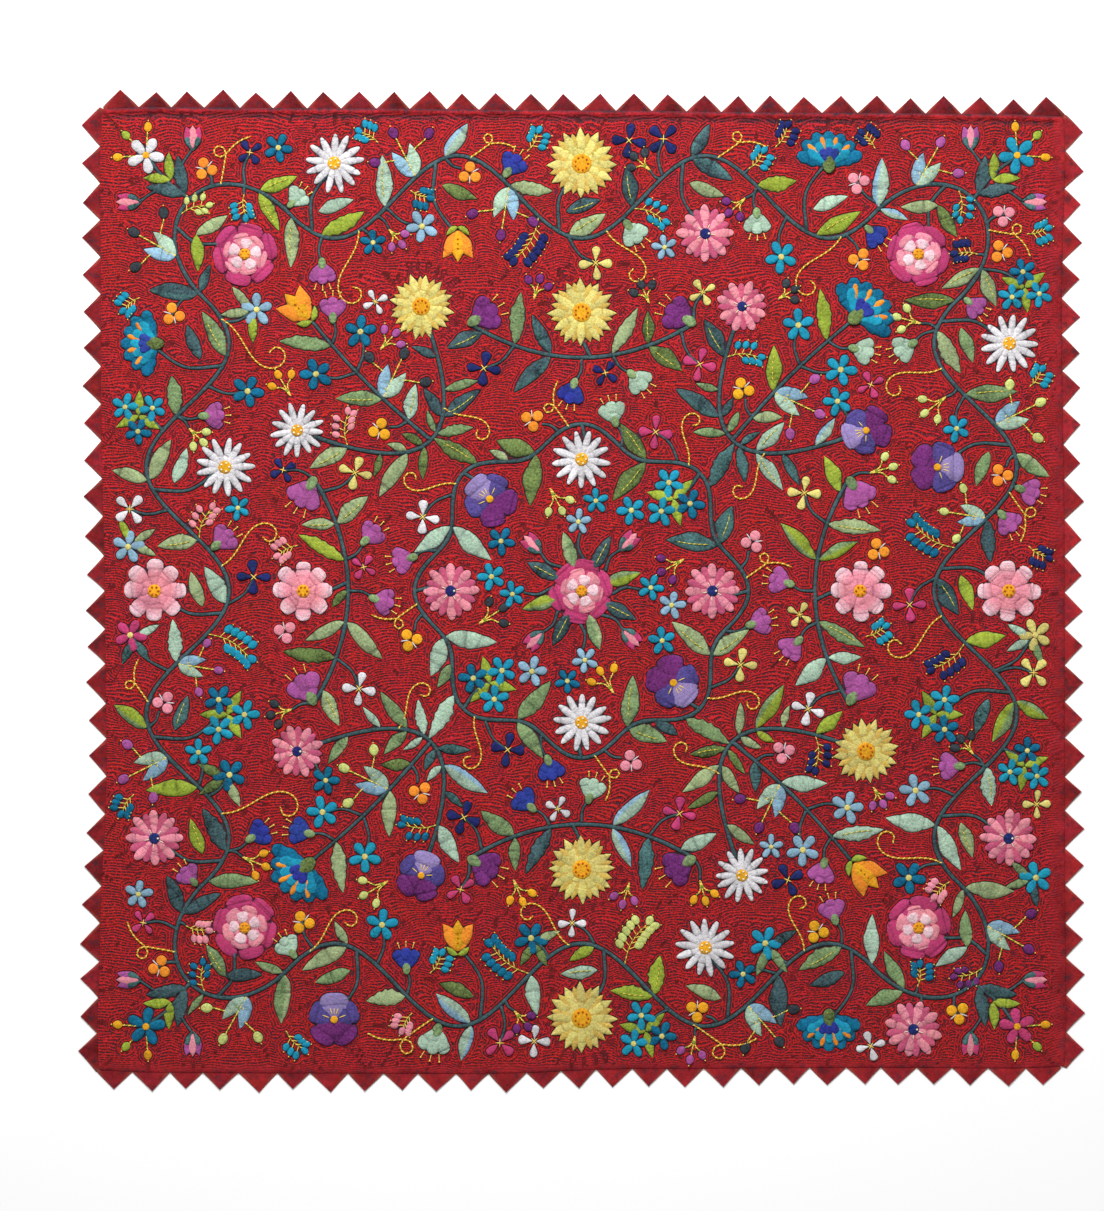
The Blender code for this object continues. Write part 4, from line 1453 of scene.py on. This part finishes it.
def echo_quilting():
    """Rows of hand quilting. Close to the patches they follow their outlines, Row being the
    distance in rows of stitching, and beyond they run level. The cloth rises between the rows,
    and between the stitches of a row."""
    inputs = [("Row", "Float", 0.0), ("Fade", "Float", 1.0)]
    outputs = [("Height", "Float"), ("Stitch", "Float")]
    tree, nodes, given, result = shared_effect("Echo quilting", inputs, outputs)
    where = nodes.place()
    up = nodes.add("SeparateXYZ", {"Vector": where}).outputs["Y"]
    swell = nodes.maths("EXPONENT", nodes.times(given["Row"], -0.42))
    wave = nodes.scaled(swell, 2.6, nodes.times(nodes.noise(where, 10.0, 2.0, 0.45), 7.5))
    level = nodes.scaled(up, 1 / ROW_GAP, wave)
    reach = nodes.scaled(nodes.noise(where, 6.0, 0.0), -6.0, 4.6)
    beyond = nodes.maths("GREATER_THAN", given["Row"], nodes.maths("MAXIMUM", reach, 1.3))
    row = nodes.add("Mix", {"Factor": beyond, "A": given["Row"], "B": level}).outputs["Result"]
    row = nodes.scaled(nodes.drift(where, 100.0, 2.0), 0.62, row)
    number = nodes.maths("ROUND", row)
    off = nodes.maths("ABSOLUTE", nodes.maths("SUBTRACT", row, number))
    valley = nodes.ease(off, 0.14, 0.42, 1.0, 0.0)
    shift = nodes.add("CombineXYZ", {"Z": nodes.times(number, 0.0173)}).outputs[0]
    place = nodes.add("VectorMath", {0: where, 1: shift}, operation="ADD").outputs[0]
    dash = nodes.ease(nodes.noise(place, 380.0, 1.0), 0.42, 0.55)
    # Row 0 is stitched all along, so the painted shade makes an unbroken shadow line round each
    # patch.
    first = nodes.ease(nodes.maths("ABSOLUTE", number), 0.4, 0.6, 1.0, 0.0)
    dash = nodes.maths("MAXIMUM", dash, first)
    # Height and Stitch are also used to paint the ground's colour darker as shade.
    low = nodes.times(nodes.times(valley, nodes.scaled(dash, 0.7, 0.3)), given["Fade"])
    nodes.set(result["Height"], nodes.maths("SUBTRACT", 1.0, low))
    nodes.set(result["Stitch"], nodes.times(nodes.times(valley, dash), given["Fade"]))
    return tree


def painted_crease_shade():
    """Soft patches of painted crease shade, at places set by noise: a mask, larger where Amount is
    higher.
    """
    inputs = [("Amount", "Float", 0.5), ("Size", "Float", 60.0)]
    tree, nodes, given, result = shared_effect("Painted crease shade", inputs, [("Mask", "Float")])
    patches = nodes.noise(nodes.place(), given["Size"], 4.0, 0.62)
    low = nodes.maths("SUBTRACT", 0.86, nodes.times(given["Amount"], 0.62))
    nodes.set(result["Mask"], nodes.ease(patches, low, nodes.maths("ADD", low, 0.24)))
    return tree


def edge_pleats():
    """Small pleats across a patch, strongest along its edge, where it is turned under. Size is
    how many there are to a metre. Depth is below zero in a pleat."""
    inputs = [("Grain", "Vector", (0.0, 0.0, 0.0)), ("Size", "Float", 300.0)]
    tree, nodes, given, result = shared_effect("Edge pleats", inputs, [("Depth", "Float")])
    parts = nodes.add("SeparateXYZ", {"Vector": given["Grain"]}).outputs
    along = {"X": parts["X"], "Y": nodes.times(parts["Y"], 0.22)}
    depth = nodes.drift(nodes.add("CombineXYZ", along).outputs[0], given["Size"], 2.0, 0.6)
    edge = nodes.ease(parts["Z"], 0.15, 0.95, 0.25, 1.0)
    nodes.set(result["Depth"], nodes.times(depth, edge))
    return tree


HAND_DYE, PLAIN_WEAVE, ECHO_QUILTING = hand_dye(), plain_weave(), echo_quilting()
CREASE_SHADE, EDGE_PLEATS = painted_crease_shade(), edge_pleats()


def new_material(name, roughness, sheen=0.0):
    material = bpy.data.materials.new(name)
    material.use_nodes = True
    shader = material.node_tree.nodes["Principled BSDF"]
    for key, value in (("Roughness", roughness), ("Specular IOR Level", 0.04),
                       ("Sheen Weight", sheen), ("Sheen Roughness", 0.5)):
        shader.inputs[key].default_value = value
    return material, Nodes(material.node_tree), shader


def solid(name):
    return (*dye(name), 1)


def dyed(nodes, colour, clouds, speckle, drift=1.0):
    return nodes.use(HAND_DYE, Color=colour, Clouds=clouds, Speckle=speckle, Drift=drift)


def set_looks(nodes, shader, colour, height, distance):
    """Gives a material its colour and relief."""
    bump = nodes.add("Bump", {"Height": height, "Distance": distance, "Strength": 1.0})
    nodes.set(shader.inputs["Base Color"], colour)
    nodes.set(shader.inputs["Normal"], bump.outputs["Normal"])


def quilted_cotton(name, relief):
    """Red cotton with echo quilting, painted darker as shade in the valleys between its rows, and
    plain towards the edge with patches of painted crease shade. Shade is 1 where a shadow is
    painted in the hollow behind the rolled edge and -1 on its lip, which is painted a darker red as
    shade."""
    material, nodes, shader = new_material(name, 0.9, 0.02)
    row, fade, shade = (nodes.attribute(word) for word in ("echo", "fade", "shade"))
    echo = nodes.add("Group", {"Row": row, "Fade": fade}, node_tree=ECHO_QUILTING).outputs
    edge, painted_shade = dyed(nodes, solid("point"), 1.2, 1.1, 0.25), solid("painted_shade")
    # Painted crease shade, in soft patches near the edge and on the lip.
    crease_shade = nodes.times(nodes.use(CREASE_SHADE, Amount=0.66, Size=95.0), 0.6)
    ground = dyed(nodes, solid("ground"), 0.30, 1.0, 0.25)
    red = nodes.mix(fade, nodes.mix(crease_shade, edge, painted_shade), ground)
    # Painted shade: the ground is darkened in the valleys between the quilting rows, most at their
    # stitches.
    valley_shade = nodes.scaled(echo["Height"], -0.34, 0.34)
    valley_and_stitch_shade = nodes.maths("MAXIMUM", valley_shade, nodes.times(echo["Stitch"], 0.96))
    red = nodes.mix(valley_and_stitch_shade, red, painted_shade)
    # The lip is painted as shade: a darker red, darker still on its outer rows and in the crease
    # patches.
    on_lip = nodes.times(shade, -1.0)
    dark = nodes.ease(on_lip, 1.0, 1.5, 0.0, 0.68)
    dark = nodes.maths("ADD", nodes.times(crease_shade, 0.9), dark, clamp=True)
    lip = nodes.mix(dark, dyed(nodes, solid("lip"), 1.5, 2.0, 0.3), painted_shade)
    red = nodes.mix(nodes.ease(on_lip, 0.2, 0.7), red, lip)
    where = nodes.place()
    # A shadow is painted in the hollow behind the lip, with a ragged edge and a strength that
    # varies.
    ragged = nodes.times(nodes.drift(where, 95.0, 3.0, 0.6), 1.6)
    depth = nodes.scaled(nodes.noise(where, 4.0, 1.0), 1.5, -0.08, clamp=True)
    hollow = nodes.times(nodes.ease(nodes.maths("ADD", shade, ragged), 0.25, 1.05), depth)
    height = nodes.scaled(nodes.use(PLAIN_WEAVE), 0.05, echo["Height"])
    rough = nodes.maths("SUBTRACT", 0.9, fade)
    height = nodes.scaled(nodes.noise(where, 150.0, 2.0), rough, height)
    set_looks(nodes, shader, nodes.mix(hollow, red, painted_shade), height, relief)
    return material


def padded_cotton(name, clouds=0.6, speckle=1.4, pleated=1.0):
    """Cotton over padding, dyed patch by patch and pleated at its edge, with shade painted darker
    in its folds and pleats.
    """
    material, nodes, shader = new_material(name, 0.8, 0.05)
    colour = dyed(nodes, nodes.attribute("dye", "Color"), clouds, speckle)
    # Painted shade: the folds and the edge pleats are mixed towards a dim copy of the dye.
    painted_shade = nodes.mix(1.0, colour, (0.42, 0.40, 0.46, 1), "MULTIPLY")
    pleats = nodes.use(EDGE_PLEATS, Grain=nodes.attribute("grain", "Vector"))
    pleat_shade = nodes.ease(pleats, -0.22, -0.03, 0.55 * pleated, 0.0)
    share = nodes.maths("ADD", nodes.times(nodes.attribute("fold"), 0.70), pleat_shade, clamp=True)
    weave = nodes.times(nodes.use(PLAIN_WEAVE), 0.30)
    height = nodes.scaled(nodes.noise(nodes.place(), 190.0, 3.0, 0.65), 2.4, weave)
    height = nodes.scaled(pleats, 3.0 * pleated, height)
    set_looks(nodes, shader, nodes.mix(share, colour, painted_shade), height, 0.0009)
    return material


def point_cotton():
    """The prairie points: crimson cloth with soft patches of painted crease shade, paler where its
    folds are worn.
    """
    material, nodes, shader = new_material("crimson point cotton", 0.85, 0.05)
    colour = dyed(nodes, nodes.attribute("dye", "Color"), 1.2, 0.9, 0.4)
    # Painted crease shade, in soft patches at places set by noise.
    crease_shade = nodes.times(nodes.use(CREASE_SHADE, Amount=0.64, Size=70.0), 0.62)
    colour = nodes.mix(crease_shade, colour, solid("painted_shade"))
    colour = nodes.mix(nodes.times(nodes.attribute("fold"), 0.30), colour, solid("worn"))
    folds = nodes.noise(nodes.place(), 62.0, 3.0, 0.6)
    set_looks(nodes, shader, colour, nodes.scaled(folds, 6.0, nodes.use(PLAIN_WEAVE)), 0.0005)
    return material


def sewing_thread():
    material, nodes, shader = new_material("twisted cotton thread", 0.55)
    waves = {"Vector": nodes.place(), "Scale": 420.0, "Distortion": 1.0}
    ply = nodes.add("TexWave", waves, wave_type="BANDS", bands_direction="DIAGONAL").outputs["Fac"]
    set_looks(nodes, shader, nodes.attribute("dye", "Color"), ply, 0.0003)
    return material


RED = quilted_cotton("red quilted cotton", 0.0027)
BACK = quilted_cotton("red back cotton", 0.0012)
POINT = point_cotton()
COTTON = padded_cotton("hand dyed cotton")
STEM = padded_cotton("slate stem cotton")
LEAF = padded_cotton("leaf cotton", 1.0, 1.8)
FELT = padded_cotton("berry wool felt", 0.4, 1.6, 0.4)
THREAD = sewing_thread()


# ---- The pieces ----


def make_pieces():
    flowers = (("sunflowers", "sunflower"), ("daisies", "daisy"), ("asters", "aster"),
               ("roses", "rose"), ("pansies", "pansy"), ("cosmos", "cosmos"),
               ("carnations", "carnation"), ("tulips", "tulip"))
    for name, kind in flowers:
        cloth(name).made(COTTON, kind + "_cloth", nodes_with("_" + kind), 0.7)
    cloth("small_blossoms").made(COTTON, "bluet_cloth", nodes_with("_bluets"), 0.7)
    for name, material, slot, fill in (
            ("flower_middles", FELT, "sunflower_cloth", 0.9), ("bells", COTTON, "pansy_cloth", 0.7),
            ("buds", COTTON, "aster_cloth", 0.7), ("calyxes", LEAF, "leaf_cloth", 0.7),
            ("leaves", LEAF, "leaf_cloth", 0.6), ("berries", FELT, "berry_cloth", 0.9)):
        cloth(name).made(material, slot, fill=fill)
    for name, word in (("border_vine", "border_vine"), ("wreath_vine", "wreath_stem"),
                       ("garland_stems", "garland_stem"), ("spray_stems", "spray_stem")):
        cloth(name).made(STEM, "stem_cloth", nodes_with(word), 0.8)
    cloth("stalks").made(STEM, "stem_cloth", fill=0.8)
    for name in ("french_knots", "pale_stitching", "yellow_stitching"):
        cloth(name).made(THREAD, "thread")
    finder = outline_finder()
    make_ground(finder, RED)
    make_back(finder, BACK)
    for edge in EDGE_AXES:
        make_points(edge, POINT)


make_pieces()


# ---- Floor, light and camera ----


def make_floor():
    mesh = bpy.data.meshes.new("floor")
    corners = [(x, y, -0.0005) for x, y in ((-9, -9), (9, -9), (9, 9), (-9, 9))]
    mesh.from_pydata(corners, [], [(0, 1, 2, 3)])
    material, _, shader = new_material("pale floor", 0.9)
    shader.inputs["Base Color"].default_value = (0.99, 0.99, 0.99, 1)
    mesh.materials.append(material)
    floor = add_object("floor", mesh)


def make_light(name, kind, place, energy, **settings):
    light = bpy.data.lights.new(name, kind)
    light.energy = energy
    for key, value in settings.items():
        setattr(light, key, value)
    lamp = add_object(name, light)
    lamp.location = place
    lamp.rotation_euler = (-Vector(place)).to_track_quat("-Z", "Y").to_euler()


make_floor()
make_light("key light", "SUN", (-1.0, 3.0, 3.0), 0.5, angle=math.radians(12))
make_light("upper light", "AREA", (-0.3, 2.7, 2.6), 150, shape="SQUARE", size=0.9)
world = bpy.data.worlds.new("studio")
world.use_nodes = True
background = world.node_tree.nodes["Background"].inputs
background["Color"].default_value = (1, 1, 1, 1)
background["Strength"].default_value = 0.48
bpy.context.scene.world = world
bpy.context.scene.view_settings.view_transform = "Standard"

VIEW_HEIGHT = 7.0  # the camera above the quilt
VIEW_SPAN = 2.046  # how much floor the picture's long side shows
camera = add_object("camera", bpy.data.cameras.new("camera"))
camera.location = (-0.0500, -0.0245, VIEW_HEIGHT)
camera.data.lens = camera.data.sensor_width * VIEW_HEIGHT / VIEW_SPAN
camera.data.clip_end = 40
bpy.context.scene.camera = camera
